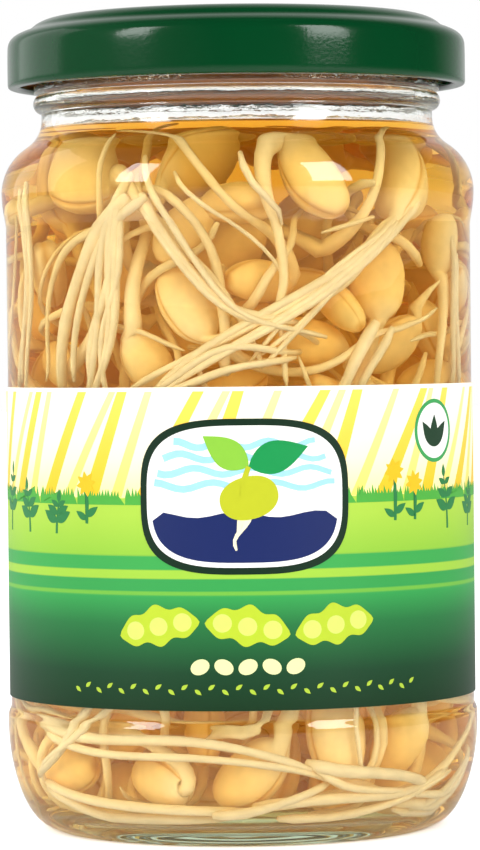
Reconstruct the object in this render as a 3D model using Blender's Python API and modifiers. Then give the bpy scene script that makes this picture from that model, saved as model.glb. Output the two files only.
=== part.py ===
"""A twist-off glass jar of soybean sprouts in brine, with its paper label and lacquered lid.

Run with: blender --background --python part.py
The jar stands on the XY plane with its axis on Z. Its front faces -Y. Sizes are millimetres
until a mesh is made, and bearings are degrees from the front, positive towards +X.
"""

import math

import bmesh
import bpy
import numpy as np
from mathutils import Matrix, Vector

MM = 0.001
SIDES = 36  # flats round every turned piece
MERGE = 0.00002

# Jar, outside
BODY_RADIUS = 36.15
PANEL_RADIUS = 35.5
NECK_RADIUS = 29.9
FINISH_RADIUS = 31.0
BEAD_RADIUS = 31.15
RIM_HEIGHT = 121.6
BEAD_HEIGHT = 110.6
BEAD_HALF = 1.4
PANEL_BOTTOM = 18.6
PANEL_TOP = 91.4
SHOULDER_HEIGHT = 96.8
SHOULDER_ROUND = 8.45
THROAT_ROUND = 5.0
HEEL = (  # radius and height, from the lower bumper roll down to the bearing ring
    (36.0, 15.8),
    (35.85, 13.1),
    (35.45, 10.3),
    (34.75, 7.5),
    (33.8, 4.8),
    (32.5, 2.45),
    (30.9, 0.85),
    (28.9, 0.0),
)
FOOT_WIDTH = 2.0
PUSH_UP = 1.8

# Jar, inside
CAVITY_RADIUS = 33.4
MOUTH_RADIUS = 27.8
FLOOR_HEIGHT = 3.4
FLOOR_DOME = 1.6
HEEL_ROUND = 8.0
INNER_SHOULDER_ROUND = 6.2
INNER_THROAT_ROUND = 7.3

# Lug thread: four ridges on the neck, and the four lugs of the lid under them
LUGS = 4
LUG_BEARING = 20.0
LUG_WIDTH = 7.0
LUG_TIP_RADIUS = 31.75
LUG_HEIGHT = 114.3
LUG_THICKNESS = 1.0
LEAD_PER_DEGREE = 0.024  # rise of the ridges, mm for each degree of turn
RIDGE_RADIUS = 31.1
RIDGE_HALF = 1.05
RIDGE_OVER_LUG = 1.45
RIDGE_START = -8.0
RIDGE_END = 58.0
RIDGE_POINTS = 7

# Lid
LID_RADIUS = 35.0
LID_TOP = 123.5
LID_BOTTOM = 112.9
LID_GAUGE = 0.4
HEM_DEPTH = 2.1
GASKET_INNER = 27.3
GASKET_OUTER = 30.2
GASKET_BOTTOM = 121.85

# Label, a strip of paper with a gap at the back
LABEL_BOTTOM = 20.5
LABEL_TOP = 67.5
LABEL_STANDOFF = 0.2
LABEL_THICKNESS = 0.2
LABEL_FLATS = 34

# Brine
BRINE_LEVEL = 105.8
BRINE_GAP = 0.25
BRINE_SLEEVE = 0.7

# Sprouts
BEAN_LENGTH = 12.2
BEAN_WIDTH = 9.2
BEAN_THICKNESS = 7.8
BEAN_SIDES = 10
BEAN_RINGS = 6
CLEFT_DEPTH = 0.1
ROOT_THICK = 1.55  # radius where the root leaves the bean
ROOT_THIN = 0.6  # radius near the tip
STATION = 2.4  # spacing of the balls that stand for a sprout while it is laid
ROOT_STATIONS = 18
ROOT_KNOTS = (0, 2, 4, 6, 9, 12, 15, 17)  # the stations that a root's tube passes
CLEARANCE = 0.22
SPROUT_INSET = 1.3
BACK_SPROUTS = 22
SEED = 41


def shoulder_rise(first_x, second_x, reach):
    """Height from a shoulder's centre to its throat's centre, where their arcs meet."""
    return math.sqrt(reach**2 - (second_x - first_x) ** 2)


def arc(centre, radii, start, end, steps):
    """Points on an arc of an ellipse, from start to end in degrees."""
    angles = np.radians(np.linspace(start, end, steps + 1))
    return [
        (centre[0] + radii[0] * math.cos(a), centre[1] + radii[1] * math.sin(a))
        for a in angles
    ]


def cavity_radius(height, inset=0.0):
    """Inner radius of the glass at a height, less an inset square to the wall."""
    heel = HEEL_ROUND - inset
    heel_x = CAVITY_RADIUS - HEEL_ROUND
    heel_z = FLOOR_HEIGHT + HEEL_ROUND
    shoulder = INNER_SHOULDER_ROUND - inset
    throat = INNER_THROAT_ROUND + inset
    shoulder_x = CAVITY_RADIUS - INNER_SHOULDER_ROUND
    throat_x = MOUTH_RADIUS + INNER_THROAT_ROUND
    reach = INNER_SHOULDER_ROUND + INNER_THROAT_ROUND
    rise = shoulder_rise(shoulder_x, throat_x, reach)
    if height < heel_z:
        drop = min(heel, heel_z - height)
        return heel_x + math.sqrt(heel**2 - drop**2)
    if height < SHOULDER_HEIGHT:
        return CAVITY_RADIUS - inset
    if height < SHOULDER_HEIGHT + shoulder * rise / reach:
        return shoulder_x + math.sqrt(shoulder**2 - (height - SHOULDER_HEIGHT) ** 2)
    if height < SHOULDER_HEIGHT + rise:
        return throat_x - math.sqrt(throat**2 - (SHOULDER_HEIGHT + rise - height) ** 2)
    return MOUTH_RADIUS - inset


def floor_height(radius, inset=0.0):
    """Height of the domed floor of the cavity at a radius."""
    share = min(1.0, radius / (CAVITY_RADIUS - HEEL_ROUND))
    return FLOOR_HEIGHT + FLOOR_DOME * (1 - share**2) + inset


def cavity_profile(inset, top, floor_steps=3, heel_steps=3, round_steps=3):
    """Profile of the cavity from its axis up the wall to a height."""
    edge = CAVITY_RADIUS - HEEL_ROUND
    points = [
        (edge * i / floor_steps, floor_height(edge * i / floor_steps, inset))
        for i in range(floor_steps)
    ]
    heel = HEEL_ROUND - inset
    points += arc((edge, FLOOR_HEIGHT + HEEL_ROUND), (heel, heel), -90, 0, heel_steps)
    shoulder_x = CAVITY_RADIUS - INNER_SHOULDER_ROUND
    throat_x = MOUTH_RADIUS + INNER_THROAT_ROUND
    reach = INNER_SHOULDER_ROUND + INNER_THROAT_ROUND
    rise = shoulder_rise(shoulder_x, throat_x, reach)
    meet = (INNER_SHOULDER_ROUND - inset) * rise / reach
    heights = [SHOULDER_HEIGHT + meet * i / round_steps for i in range(round_steps)]
    heights += [
        SHOULDER_HEIGHT + meet + (rise - meet) * i / round_steps
        for i in range(round_steps + 1)
    ]
    heights = [h for h in heights if h < top - 0.4] + [top]
    return points + [(cavity_radius(h, inset), h) for h in heights]


def link(obj):
    """Puts an object in the jar's collection."""
    jar_collection().objects.link(obj)
    return obj


def jar_collection():
    found = bpy.data.collections.get("jar_of_bean_sprouts")
    if found is None:
        found = bpy.data.collections.new("jar_of_bean_sprouts")
        bpy.context.scene.collection.children.link(found)
    return found


def material(name, colour, roughness, metallic=0.0, alpha=1.0):
    """A Principled material, made once for each name."""
    found = bpy.data.materials.get(name)
    if found is None:
        found = bpy.data.materials.new(name)
        found.use_nodes = True
        shader = found.node_tree.nodes["Principled BSDF"]
        shader.inputs["Base Color"].default_value = (*colour, 1.0)
        shader.inputs["Roughness"].default_value = roughness
        shader.inputs["Metallic"].default_value = metallic
        shader.inputs["Alpha"].default_value = alpha
        found.diffuse_color = (*colour, alpha)
    return found


def turned(name, profile, finish, closed=False, turn=360.0, steps=SIDES, start=0.0):
    """A turned piece: its profile, outer side downwards, swept round Z by a Screw modifier."""
    mesh = bpy.data.meshes.new(name)
    spin = Matrix.Rotation(math.radians(start), 3, "Z")
    points = [spin @ Vector((x * MM, 0.0, z * MM)) for x, z in profile]
    edges = [(i, i + 1) for i in range(len(points) - 1)]
    if closed:
        edges.append((len(points) - 1, 0))
    mesh.from_pydata(points, edges, [])
    mesh.materials.append(finish)
    obj = link(bpy.data.objects.new(name, mesh))
    screw = obj.modifiers.new("turn", "SCREW")
    screw.angle = math.radians(turn)
    screw.steps = screw.render_steps = steps
    screw.use_merge_vertices = turn == 360.0
    screw.merge_threshold = MERGE
    screw.use_smooth_shade = True
    return obj


def settled(obj):
    """Applies an object's modifiers, so that a Boolean takes its finished mesh."""
    graph = bpy.context.evaluated_depsgraph_get()
    mesh = bpy.data.meshes.new_from_object(obj.evaluated_get(graph))
    obj.modifiers.clear()
    obj.data = mesh
    return obj


def tube(name, points, radii, finish, resolution=1):
    """A closed tube through points in millimetres, with a radius at each point."""
    curve = bpy.data.curves.new(name, "CURVE")
    curve.dimensions = "3D"
    curve.bevel_depth = MM
    curve.bevel_resolution = resolution
    curve.use_fill_caps = True
    spline = curve.splines.new("POLY")
    spline.points.add(len(points) - 1)
    for knot, point, radius in zip(spline.points, points, radii):
        knot.co = (*(Vector(point) * MM), 1.0)
        knot.radius = radius
    guide = link(bpy.data.objects.new(name + "_guide", curve))
    bpy.context.view_layer.update()
    graph = bpy.context.evaluated_depsgraph_get()
    mesh = bpy.data.meshes.new_from_object(guide.evaluated_get(graph))
    bpy.data.objects.remove(guide)
    shape = bmesh.new()
    shape.from_mesh(mesh)
    bmesh.ops.remove_doubles(shape, verts=shape.verts, dist=MERGE)
    bmesh.ops.recalc_face_normals(shape, faces=shape.faces)
    shape.to_mesh(mesh)
    shape.free()
    mesh.materials.clear()
    mesh.materials.append(finish)
    return link(bpy.data.objects.new(name, mesh))


def fuse(obj, others):
    """Joins other solids into obj by one Boolean union, and removes them."""
    group = bpy.data.collections.new(obj.name + "_joined")
    for other in others:
        group.objects.link(other)
    union = obj.modifiers.new("join", "BOOLEAN")
    union.operation = "UNION"
    union.operand_type = "COLLECTION"
    union.collection = group
    union.solver = "EXACT"
    bpy.context.view_layer.update()
    settled(obj)
    for other in others:
        bpy.data.objects.remove(other)
    bpy.data.collections.remove(group)
    return obj


def thread_ridges(finish):
    """The slanting glass ridges that the lid's lugs hook under."""
    ridges = []
    middle = LUG_HEIGHT + LUG_THICKNESS / 2 + RIDGE_OVER_LUG
    for lug in range(LUGS):
        turn = LUG_BEARING + lug * 360.0 / LUGS
        points = []
        radii = []
        for i in range(RIDGE_POINTS):
            share = i / (RIDGE_POINTS - 1)
            along = RIDGE_START + (RIDGE_END - RIDGE_START) * share
            angle = math.radians(turn + along)
            points.append(
                (
                    RIDGE_RADIUS * math.cos(angle),
                    RIDGE_RADIUS * math.sin(angle),
                    middle + LEAD_PER_DEGREE * along,
                )
            )
            radii.append(RIDGE_HALF if 0 < i < RIDGE_POINTS - 1 else RIDGE_HALF / 3)
        ridges.append(tube(f"ridge_{lug}", points, radii, finish))
    return ridges


def glass_jar():
    """The jar: one blown glass body with its bumper rolls, label panel, bead and thread."""
    glass = material("flint_glass", (0.86, 0.9, 0.86), 0.05, alpha=0.35)
    shoulder_x = BODY_RADIUS - SHOULDER_ROUND
    throat_x = NECK_RADIUS + THROAT_ROUND
    reach = SHOULDER_ROUND + THROAT_ROUND
    rise = shoulder_rise(shoulder_x, throat_x, reach)
    meet = math.degrees(math.acos((throat_x - shoulder_x) / reach))
    inside = cavity_profile(0.0, RIM_HEIGHT - 1.0)
    rim = [
        (MOUTH_RADIUS + 0.9, RIM_HEIGHT),
        (FINISH_RADIUS - 0.9, RIM_HEIGHT),
        (FINISH_RADIUS, RIM_HEIGHT - 1.0),
    ]
    bead = arc(
        (NECK_RADIUS, BEAD_HEIGHT), (BEAD_RADIUS - NECK_RADIUS, BEAD_HALF), 60, -90, 4
    )
    throat = arc(
        (throat_x, SHOULDER_HEIGHT + rise), (THROAT_ROUND,) * 2, 180, 180 + meet, 3
    )
    shoulder = arc(
        (shoulder_x, SHOULDER_HEIGHT), (SHOULDER_ROUND,) * 2, meet * 0.75, 0, 3
    )
    panel = [
        (PANEL_RADIUS, PANEL_TOP),
        (PANEL_RADIUS, PANEL_BOTTOM),
    ]
    foot = HEEL[-1][0] - FOOT_WIDTH
    base = [
        (foot, 0.0),
        (foot - 2.4, PUSH_UP * 0.6),
        (0.0, PUSH_UP),
    ]
    finish_foot = [(FINISH_RADIUS, BEAD_HEIGHT + BEAD_HALF)]
    outside = rim + finish_foot + bead + throat + shoulder + panel + list(HEEL) + base
    jar = settled(turned("glass_jar", inside + outside, glass))
    return fuse(jar, thread_ridges(glass))


def brine():
    """The brine: it fills the jar to its level, with one plain hole that the sprouts stand in."""
    liquid = material("brine", (0.93, 0.72, 0.36), 0.05, alpha=0.35)
    outer = cavity_profile(BRINE_GAP, BRINE_LEVEL, 2, 3, 2)
    hole = cavity_profile(BRINE_GAP + BRINE_SLEEVE, BRINE_LEVEL, 2, 3, 2)
    return turned("brine", hole + outer[::-1], liquid)


def label():
    """The paper label: a strip round the panel, with its two ends apart at the back."""
    paper = material("label_paper", (0.25, 0.5, 0.16), 0.6)
    inner = PANEL_RADIUS + LABEL_STANDOFF
    outer = inner + LABEL_THICKNESS
    flat = 360.0 / SIDES
    half = LABEL_FLATS * flat / 2
    strip = turned(
        "label",
        [(outer, LABEL_TOP), (outer, LABEL_BOTTOM)],
        paper,
        turn=LABEL_FLATS * flat,
        steps=LABEL_FLATS,
        start=-90.0 - half,
    )
    shell = strip.modifiers.new("thickness", "SOLIDIFY")
    shell.thickness = LABEL_THICKNESS * MM
    shell.offset = -1.0
    return strip


def inner_side(profile, gauge):
    """The inner side of a sheet: each point moved in, square to the outer side there."""
    moved = []
    for i, (x, z) in enumerate(profile):
        before = profile[max(0, i - 1)]
        after = profile[min(len(profile) - 1, i + 1)]
        along = Vector((after[0] - before[0], after[1] - before[1])).normalized()
        shift = gauge if x else 0.0
        moved.append((x + along.y * shift, z - along.x * gauge))
    return moved


def lid():
    """The steel lid: safety button, sunk panel, raised bead, skirt, curled hem and lugs."""
    lacquer = material("green_lacquer", (0.0, 0.16, 0.07), 0.3)
    outside = [
        (0.0, LID_TOP - 1.1),
        (7.0, LID_TOP - 1.15),
        (10.5, LID_TOP - 1.6),
        (24.4, LID_TOP - 1.6),
        (26.2, LID_TOP - 0.2),
        (27.2, LID_TOP),
        (28.3, LID_TOP),
        (29.6, LID_TOP - 0.3),
        (30.8, LID_TOP - 0.9),
        (31.6, LID_TOP - 1.65),
        (33.1, LID_TOP - 2.15),
        (34.2, LID_TOP - 2.75),
        (LID_RADIUS - 0.15, LID_TOP - 3.6),
        (LID_RADIUS, LID_TOP - 4.7),
        (LID_RADIUS, LID_BOTTOM + 1.4),
    ]
    hem = [
        (LID_RADIUS - 0.3, LID_BOTTOM + 0.4),
        (LID_RADIUS - 1.0, LID_BOTTOM),
        (LID_RADIUS - 1.7, LID_BOTTOM),
        (LID_RADIUS - HEM_DEPTH, LID_BOTTOM + 0.7),
        (LID_RADIUS - 1.4, LID_BOTTOM + 1.3),
    ]
    inside = inner_side(outside, LID_GAUGE)[::-1]
    shell = settled(turned("lid", outside + hem + inside, lacquer))
    depth = LID_RADIUS - 1.2 - LUG_TIP_RADIUS
    lugs = []
    for lug in range(LUGS):
        angle = math.radians(LUG_BEARING + lug * 360.0 / LUGS)
        radius = LUG_TIP_RADIUS + depth / 2
        bpy.ops.mesh.primitive_cube_add(
            size=1.0,
            location=(
                radius * math.cos(angle) * MM,
                radius * math.sin(angle) * MM,
                LUG_HEIGHT * MM,
            ),
            rotation=(0.0, 0.0, angle),
            scale=(depth * MM, LUG_WIDTH * MM, LUG_THICKNESS * MM),
        )
        lugs.append(bpy.context.object)
    return fuse(shell, lugs)


def lid_gasket():
    """The ring of sealing compound in the lid's channel, over the jar's rim."""
    compound = material("sealing_compound", (0.82, 0.8, 0.74), 0.5)
    ring = [
        (GASKET_INNER + 0.9, GASKET_BOTTOM + 0.95),
        (GASKET_INNER + 1.9, GASKET_BOTTOM + 0.7),
        (GASKET_OUTER, GASKET_BOTTOM + 0.25),
        (GASKET_OUTER, GASKET_BOTTOM),
        (GASKET_INNER, GASKET_BOTTOM),
        (GASKET_INNER, GASKET_BOTTOM + 0.8),
    ]
    return turned("lid_gasket", ring, compound, closed=True)


# Sprouts that lie against the glass in front, each as it is seen there.
# bean: bearing, height and depth behind the glass of its middle. root: stations that the
# root passes, each a bearing, a height and the depth of its near side behind the glass.
LEAD_SPROUTS = (
    {"size": 1.08, "bean": (-14, 79, 0), "root": ((-7, 74, 1), (6, 71, 0), (18, 72, 0))},
    {"size": 0.92, "bean": (-24, 73, 0), "root": ((-27, 79, 0), (-31, 88, 0), (-32, 95, 3))},
    {"size": 1.0, "bean": (23, 97, 0), "root": ((16, 101, 2), (4, 102, 0), (8, 91, 0))},
    {"size": 1.1, "bean": (56, 97, 0), "root": ((50, 91, 0), (24, 80, 0), (-26, 69, 0))},
    {"size": 1.1, "bean": (46, 83, 1), "root": ((40, 76, 1), (33, 70, 0), (22, 60, 0))},
    {"size": 0.85, "bean": (6, 82, 0), "root": ((15, 82, 0), (14, 87, 0), (-14, 98, 1))},
    {"size": 1.05, "bean": (-53, 98, 2), "root": ((-32, 98, 0), (-13, 86, 0), (0, 75, 0))},
    {"size": 1.0, "bean": (-16, 100, 5), "root": ((-30, 99, 1), (-55, 88, 0), (-62, 72, 0))},
    {"size": 0.9, "bean": (-66, 70, 0), "root": ((-53, 68, 0), (-36, 76, 0), (-40, 90, 2))},
    {"size": 0.95, "bean": (22, 74, 1), "root": ((33, 72, 1), (44, 66, 0), (50, 52, 0))},
    {"size": 0.9, "bean": (73, 89, 0), "root": ((67, 80, 0), (64, 70, 0), (60, 58, 0))},
    {"size": 1.1, "bean": (-3, 88, 8), "root": ((8, 94, 9), (24, 86, 8), (36, 92, 4))},
    {"size": 1.0, "bean": (-3, 67, 4), "root": ((-14, 63, 2), (-28, 60, 2), (-45, 62, 2))},
    {"size": 1.05, "bean": (-24, 8, 0), "root": ((-13, 7, 0), (-12, 12, 0), (-55, 15, 0))},
    {"size": 1.1, "bean": (0, 9, 0), "root": ((10, 16, 3), (14, 24, 1), (2, 34, 1))},
    {"size": 1.15, "bean": (28, 16, 0), "root": ((30, 8, 0), (44, 7, 0), (68, 12, 0))},
    {"size": 0.95, "bean": (52, 14, 0), "root": ((56, 21, 0), (50, 30, 0), (34, 38, 0))},
    {"size": 0.95, "bean": (-58, 11, 0), "root": ((-70, 12, 1), (-84, 18, 0), (-90, 30, 0))},
    {"size": 1.0, "bean": (-76, 22, 2), "root": ((-60, 18, 0), (-22, 16, 0), (20, 6, 0))},
    {"size": 1.0, "bean": (-24, 33, 1), "root": ((-34, 24, 0), (-42, 16, 1), (-50, 7, 1))},
)


def spot(bearing, height, depth, half=0.0):
    """The point at a bearing and a height, its near side this deep behind the glass."""
    angle = math.radians(bearing)
    radius = cavity_radius(height, SPROUT_INSET) - depth - half
    return np.array([radius * math.sin(angle), -radius * math.cos(angle), height])


def back_sprouts(draw):
    """Sprouts for the sides and back, spread evenly by bearing and height."""
    made = []
    for i in range(BACK_SPROUTS):
        share = (i + 0.5) / BACK_SPROUTS
        bearing = 82.0 + 196.0 * ((i * 0.618034) % 1.0)
        height = 8.0 + 90.0 * share
        depth = 0.0 if i % 3 else 7.0
        heading = math.radians(draw.uniform(0.0, 360.0))
        bend = draw.uniform(-0.5, 0.5)
        root = []
        place = np.array([bearing, height])
        for _ in range(4):
            step = np.array([math.cos(heading) * 21.0, math.sin(heading) * 11.0])
            if not 8.0 < place[1] + step[1] < 100.0:
                step[1] = -step[1]
                heading = -heading
            place = place + step
            heading += bend
            root.append((place[0], place[1], max(0.0, depth + draw.uniform(-3.0, 2.0))))
        size = draw.uniform(0.88, 1.1)
        made.append({"size": size, "bean": (bearing, height, depth), "root": root})
    return made


def root_radius(share):
    """Radius of a root at a share of its length: stout, then thin, then a fine tail."""
    return ROOT_THIN + (ROOT_THICK - ROOT_THIN) * (1.0 - share) ** 1.3


def evenly(points, count, spacing):
    """Points at an even spacing along a line through the given ones, run on at its end."""
    line = [np.asarray(p, float) for p in points]
    end = line[-1] - line[-2]
    line.append(line[-1] + end * (count * spacing / np.linalg.norm(end)))
    made = [line[0]]
    here, target = line[0], 1
    while len(made) < count:
        gap = np.linalg.norm(line[target] - here)
        if gap < spacing:
            target += 1
            if target == len(line):
                break
            continue
        here = here + (line[target] - here) * (spacing / gap)
        made.append(here)
    return np.array(made)


def first_lay(sprout):
    """Balls along one sprout before it is eased: three through its bean, then its root."""
    size = sprout["size"]
    half = BEAN_WIDTH / 2 * size
    middle = spot(*sprout["bean"], half)
    stations = [spot(*station, ROOT_THICK) for station in sprout["root"]]
    aim = stations[0] - middle
    aim /= np.linalg.norm(aim)
    inner = BEAN_LENGTH * size / 6
    bean = [middle - aim * inner, middle, middle + aim * inner]
    neck = middle + aim * (BEAN_LENGTH * size / 2)
    root = evenly([neck, *stations], ROOT_STATIONS, STATION)
    for _ in range(5):
        root[1:-1] = (root[:-2] + 2 * root[1:-1] + root[2:]) / 4
    reach = math.sqrt((BEAN_WIDTH / 2) ** 2 - 0.8) * size
    radii = [reach * 0.98, BEAN_WIDTH / 2 * size, reach * 0.98]
    radii += [
        math.hypot(root_radius(i / (ROOT_STATIONS - 1)), STATION / 2)
        for i in range(ROOT_STATIONS)
    ]
    return np.vstack([bean, root]), np.array(radii)


def spread(target, index, weight, shift):
    """Adds each weighted shift to the ball that it belongs to."""
    for axis in range(3):
        target[:, axis] += np.bincount(
            index, weights=weight * shift[:, axis], minlength=len(target)
        )


def inside_heel(x, y, z, radius):
    """A ball's place, moved out of the rounded heel of the cavity if it is in the glass."""
    heel_x = CAVITY_RADIUS - HEEL_ROUND
    heel_z = FLOOR_HEIGHT + HEEL_ROUND
    out = math.hypot(x, y)
    if z >= heel_z or out <= heel_x:
        return x, y, z
    away = math.hypot(out - heel_x, heel_z - z)
    most = HEEL_ROUND - SPROUT_INSET - radius
    if away <= most:
        return x, y, z
    if most <= 0:
        scale = (heel_x + most) / out
        return x * scale, y * scale, heel_z
    scale = (heel_x + (out - heel_x) * most / away) / out
    return x * scale, y * scale, heel_z - (heel_z - z) * most / away


def keep_inside(balls, radii):
    """Holds every ball within the hole in the brine, above the floor and under the level."""
    heel_z = FLOOR_HEIGHT + HEEL_ROUND
    for i, (x, y, z) in enumerate(balls):
        radius = radii[i]
        z = min(z, BRINE_LEVEL - 1.2 - radius)
        z = max(z, floor_height(math.hypot(x, y), SPROUT_INSET) + radius)
        x, y, z = inside_heel(x, y, z, radius)
        most = cavity_radius(max(z, heel_z), SPROUT_INSET + radius)
        if z > SHOULDER_HEIGHT:
            shoulder = min(z + radius * 0.7, BRINE_LEVEL)
            most = min(most, cavity_radius(shoulder, SPROUT_INSET) - radius * 0.75)
        out = math.hypot(x, y)
        if out > most:
            x, y = x * most / out, y * most / out
        balls[i] = (x, y, z)


def ease_apart(balls, radii, owner, links, rounds=420):
    """Moves balls that crowd each other apart, a little each round, until sprouts lie clear.

    links holds pairs of balls of one sprout that keep their distance, so its curve keeps
    its form.
    """
    first, second, length = links
    count = len(balls)
    low, high = np.triu_indices(count, 1)
    apart = (owner[low] != owner[high]) | (high - low > 5)
    low, high = low[apart], high[apart]
    share = 1.0 / radii**2
    for turn in range(rounds):
        if turn % 12 == 0:
            gap = np.linalg.norm(balls[high] - balls[low], axis=1)
            near = gap < radii[low] + radii[high] + 3.0
            a, b = low[near], high[near]
        step = balls[b] - balls[a]
        gap = np.sqrt((step**2).sum(1)) + 1e-9
        crowd = np.maximum(0.0, radii[a] + radii[b] + 2 * CLEARANCE - gap)
        push = step * (crowd / gap / (share[a] + share[b]) * 0.6)[:, None]
        spread(balls, a, -share[a], push)
        spread(balls, b, share[b], push)
        if turn < rounds - 6:
            step = balls[second] - balls[first]
            gap = np.sqrt((step**2).sum(1)) + 1e-9
            give = (gap - length) / gap / (share[first] + share[second])
            pull = step * (give * 0.22)[:, None]
            spread(balls, first, share[first], pull)
            spread(balls, second, -share[second], pull)
        keep_inside(balls, radii)
    return balls


def lay_sprouts():
    """Lays every sprout in the jar. Gives each one's balls, the first three being its bean."""
    draw = np.random.default_rng(SEED)
    sprouts = [*LEAD_SPROUTS, *back_sprouts(draw)]
    laid = [first_lay(sprout) for sprout in sprouts]
    each = 3 + ROOT_STATIONS
    balls = np.vstack([points for points, _ in laid])
    radii = np.concatenate([reach for _, reach in laid])
    owner = np.repeat(np.arange(len(laid)), each)
    first, second = [], []
    for sprout in range(len(laid)):
        base = sprout * each
        for span in (1, 2, 3, 5):
            first += range(base, base + each - span)
            second += range(base + span, base + each)
    first, second = np.array(first), np.array(second)
    length = np.linalg.norm(balls[second] - balls[first], axis=1)
    ease_apart(balls, radii, owner, (first, second, length))
    return [
        (sprout["size"], balls[i * each : (i + 1) * each])
        for i, sprout in enumerate(sprouts)
    ]


def bean(name, size, balls, finish):
    """A bean of two halves, with the cleft between them where its root comes out."""
    shape = bmesh.new()
    bmesh.ops.create_uvsphere(
        shape, u_segments=BEAN_SIDES, v_segments=BEAN_RINGS, radius=1.0
    )
    for vertex in shape.verts:
        across = abs(vertex.co.y)
        if across < 0.05 and abs(vertex.co.z) < 0.97:
            vertex.co.x *= 1.0 - CLEFT_DEPTH
        vertex.co.x *= BEAN_WIDTH / 2 * size * MM
        vertex.co.y *= BEAN_THICKNESS / 2 * size * MM
        vertex.co.z *= BEAN_LENGTH / 2 * size * MM
    along = Vector(balls[2] - balls[0]).normalized()
    middle = Vector((balls[0] + balls[1] + balls[2]) / 3)
    bend = Vector(balls[8]) - middle
    side = (bend - along * bend.dot(along)).normalized()
    turn = Matrix((side, along.cross(side), along)).transposed()
    shape.transform(Matrix.Translation(middle * MM) @ turn.to_4x4())
    mesh = bpy.data.meshes.new(name)
    shape.to_mesh(mesh)
    shape.free()
    mesh.materials.append(finish)
    return link(bpy.data.objects.new(name, mesh))


def sprout(index, size, balls):
    """One sprout: the bean and its root, grown together."""
    names = ("yellow_sprout", "pale_sprout")
    colours = ((0.86, 0.62, 0.24), (0.88, 0.72, 0.42))
    pale = index % 3 == 2
    finish = material(names[pale], colours[pale], 0.4)
    body = bean(f"sprout_{index + 1:02d}", size, balls, finish)
    start = (balls[1] + balls[2]) / 2
    picked = [start, *[balls[3 + knot] for knot in ROOT_KNOTS]]
    radii = [ROOT_THICK, *[root_radius(k / (ROOT_STATIONS - 1)) for k in ROOT_KNOTS]]
    radii[-1] = ROOT_THIN / 2
    root = tube("root", picked, radii, finish)
    fuse(body, [root])
    body.data.shade_smooth()
    return body


def main():
    for obj in list(bpy.data.objects):
        bpy.data.objects.remove(obj)
    glass_jar()
    brine()
    label()
    lid()
    lid_gasket()
    for index, (size, balls) in enumerate(lay_sprouts()):
        sprout(index, size, balls)


main()
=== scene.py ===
"""Dresses the jar of bean sprouts: clear glass, amber brine, soaked sprouts, paper and lacquer.

Sizes are millimetres until a mesh is made. Bearings are degrees from the front, which faces
-Y, positive towards +X.
"""

import math

import bmesh
import bpy
import numpy as np
from mathutils import Matrix, Vector, kdtree, noise

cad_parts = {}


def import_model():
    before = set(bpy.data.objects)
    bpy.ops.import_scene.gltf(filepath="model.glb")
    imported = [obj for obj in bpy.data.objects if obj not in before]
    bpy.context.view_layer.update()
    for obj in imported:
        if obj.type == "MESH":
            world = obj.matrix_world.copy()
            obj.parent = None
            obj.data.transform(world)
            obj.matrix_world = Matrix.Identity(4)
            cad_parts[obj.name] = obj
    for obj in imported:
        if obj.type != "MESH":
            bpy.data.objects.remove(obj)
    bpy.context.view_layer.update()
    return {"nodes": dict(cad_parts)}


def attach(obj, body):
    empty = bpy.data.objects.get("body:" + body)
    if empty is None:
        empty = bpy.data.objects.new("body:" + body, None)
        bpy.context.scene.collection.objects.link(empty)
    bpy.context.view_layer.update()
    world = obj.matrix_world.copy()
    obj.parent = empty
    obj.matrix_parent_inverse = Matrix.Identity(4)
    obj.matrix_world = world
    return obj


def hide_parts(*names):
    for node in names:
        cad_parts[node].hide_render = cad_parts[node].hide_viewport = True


MM = 0.001

# The jar, as the CAD frame has it
BODY_RADIUS = 36.15
PANEL_RADIUS = 35.5
NECK_RADIUS = 29.9
FINISH_RADIUS = 31.0
BEAD_RADIUS = 31.15
RIM_HEIGHT = 121.6
BEAD_HEIGHT = 110.6
BEAD_HALF = 1.4
PANEL_BOTTOM = 18.6
PANEL_TOP = 91.4
SHOULDER_HEIGHT = 96.8
SHOULDER_ROUND = 8.45
THROAT_ROUND = 5.0
HEEL = (
    (36.0, 15.8),
    (35.85, 13.1),
    (35.45, 10.3),
    (34.75, 7.5),
    (33.8, 4.8),
    (32.5, 2.45),
    (30.9, 0.85),
    (28.9, 0.0),
)
FOOT_WIDTH = 2.0
PUSH_UP = 1.8
CAVITY_RADIUS = 33.4
MOUTH_RADIUS = 27.8
FLOOR_HEIGHT = 3.4
FLOOR_DOME = 1.6
HEEL_ROUND = 8.0
INNER_SHOULDER_ROUND = 6.2
INNER_THROAT_ROUND = 7.3

# Centres of the cavity's rounded corners, and how finely its profile is stepped
HEEL_X = CAVITY_RADIUS - HEEL_ROUND
HEEL_Z = FLOOR_HEIGHT + HEEL_ROUND
INNER_SHOULDER_X = CAVITY_RADIUS - INNER_SHOULDER_ROUND
INNER_THROAT_X = MOUTH_RADIUS + INNER_THROAT_ROUND
INNER_REACH = INNER_SHOULDER_ROUND + INNER_THROAT_ROUND
INNER_RISE = math.sqrt(INNER_REACH**2 - (INNER_THROAT_X - INNER_SHOULDER_X) ** 2)
FLOOR_STEPS = 8
HEEL_STEPS = 14
ROUND_STEPS = 8

# Lug thread
LUGS = 4
LUG_BEARING = 20.0
LUG_WIDTH = 7.0
LUG_TIP_RADIUS = 31.75
LUG_HEIGHT = 114.3
LUG_THICKNESS = 1.0
LEAD_PER_DEGREE = 0.024
RIDGE_RADIUS = 31.1
RIDGE_HALF = 1.05
RIDGE_OVER_LUG = 1.45
RIDGE_START = -8.0
RIDGE_END = 58.0

# Lid
LID_RADIUS = 35.0
LID_TOP = 123.5
LID_BOTTOM = 112.9
LID_GAUGE = 0.4
HEM_DEPTH = 2.1

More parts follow.
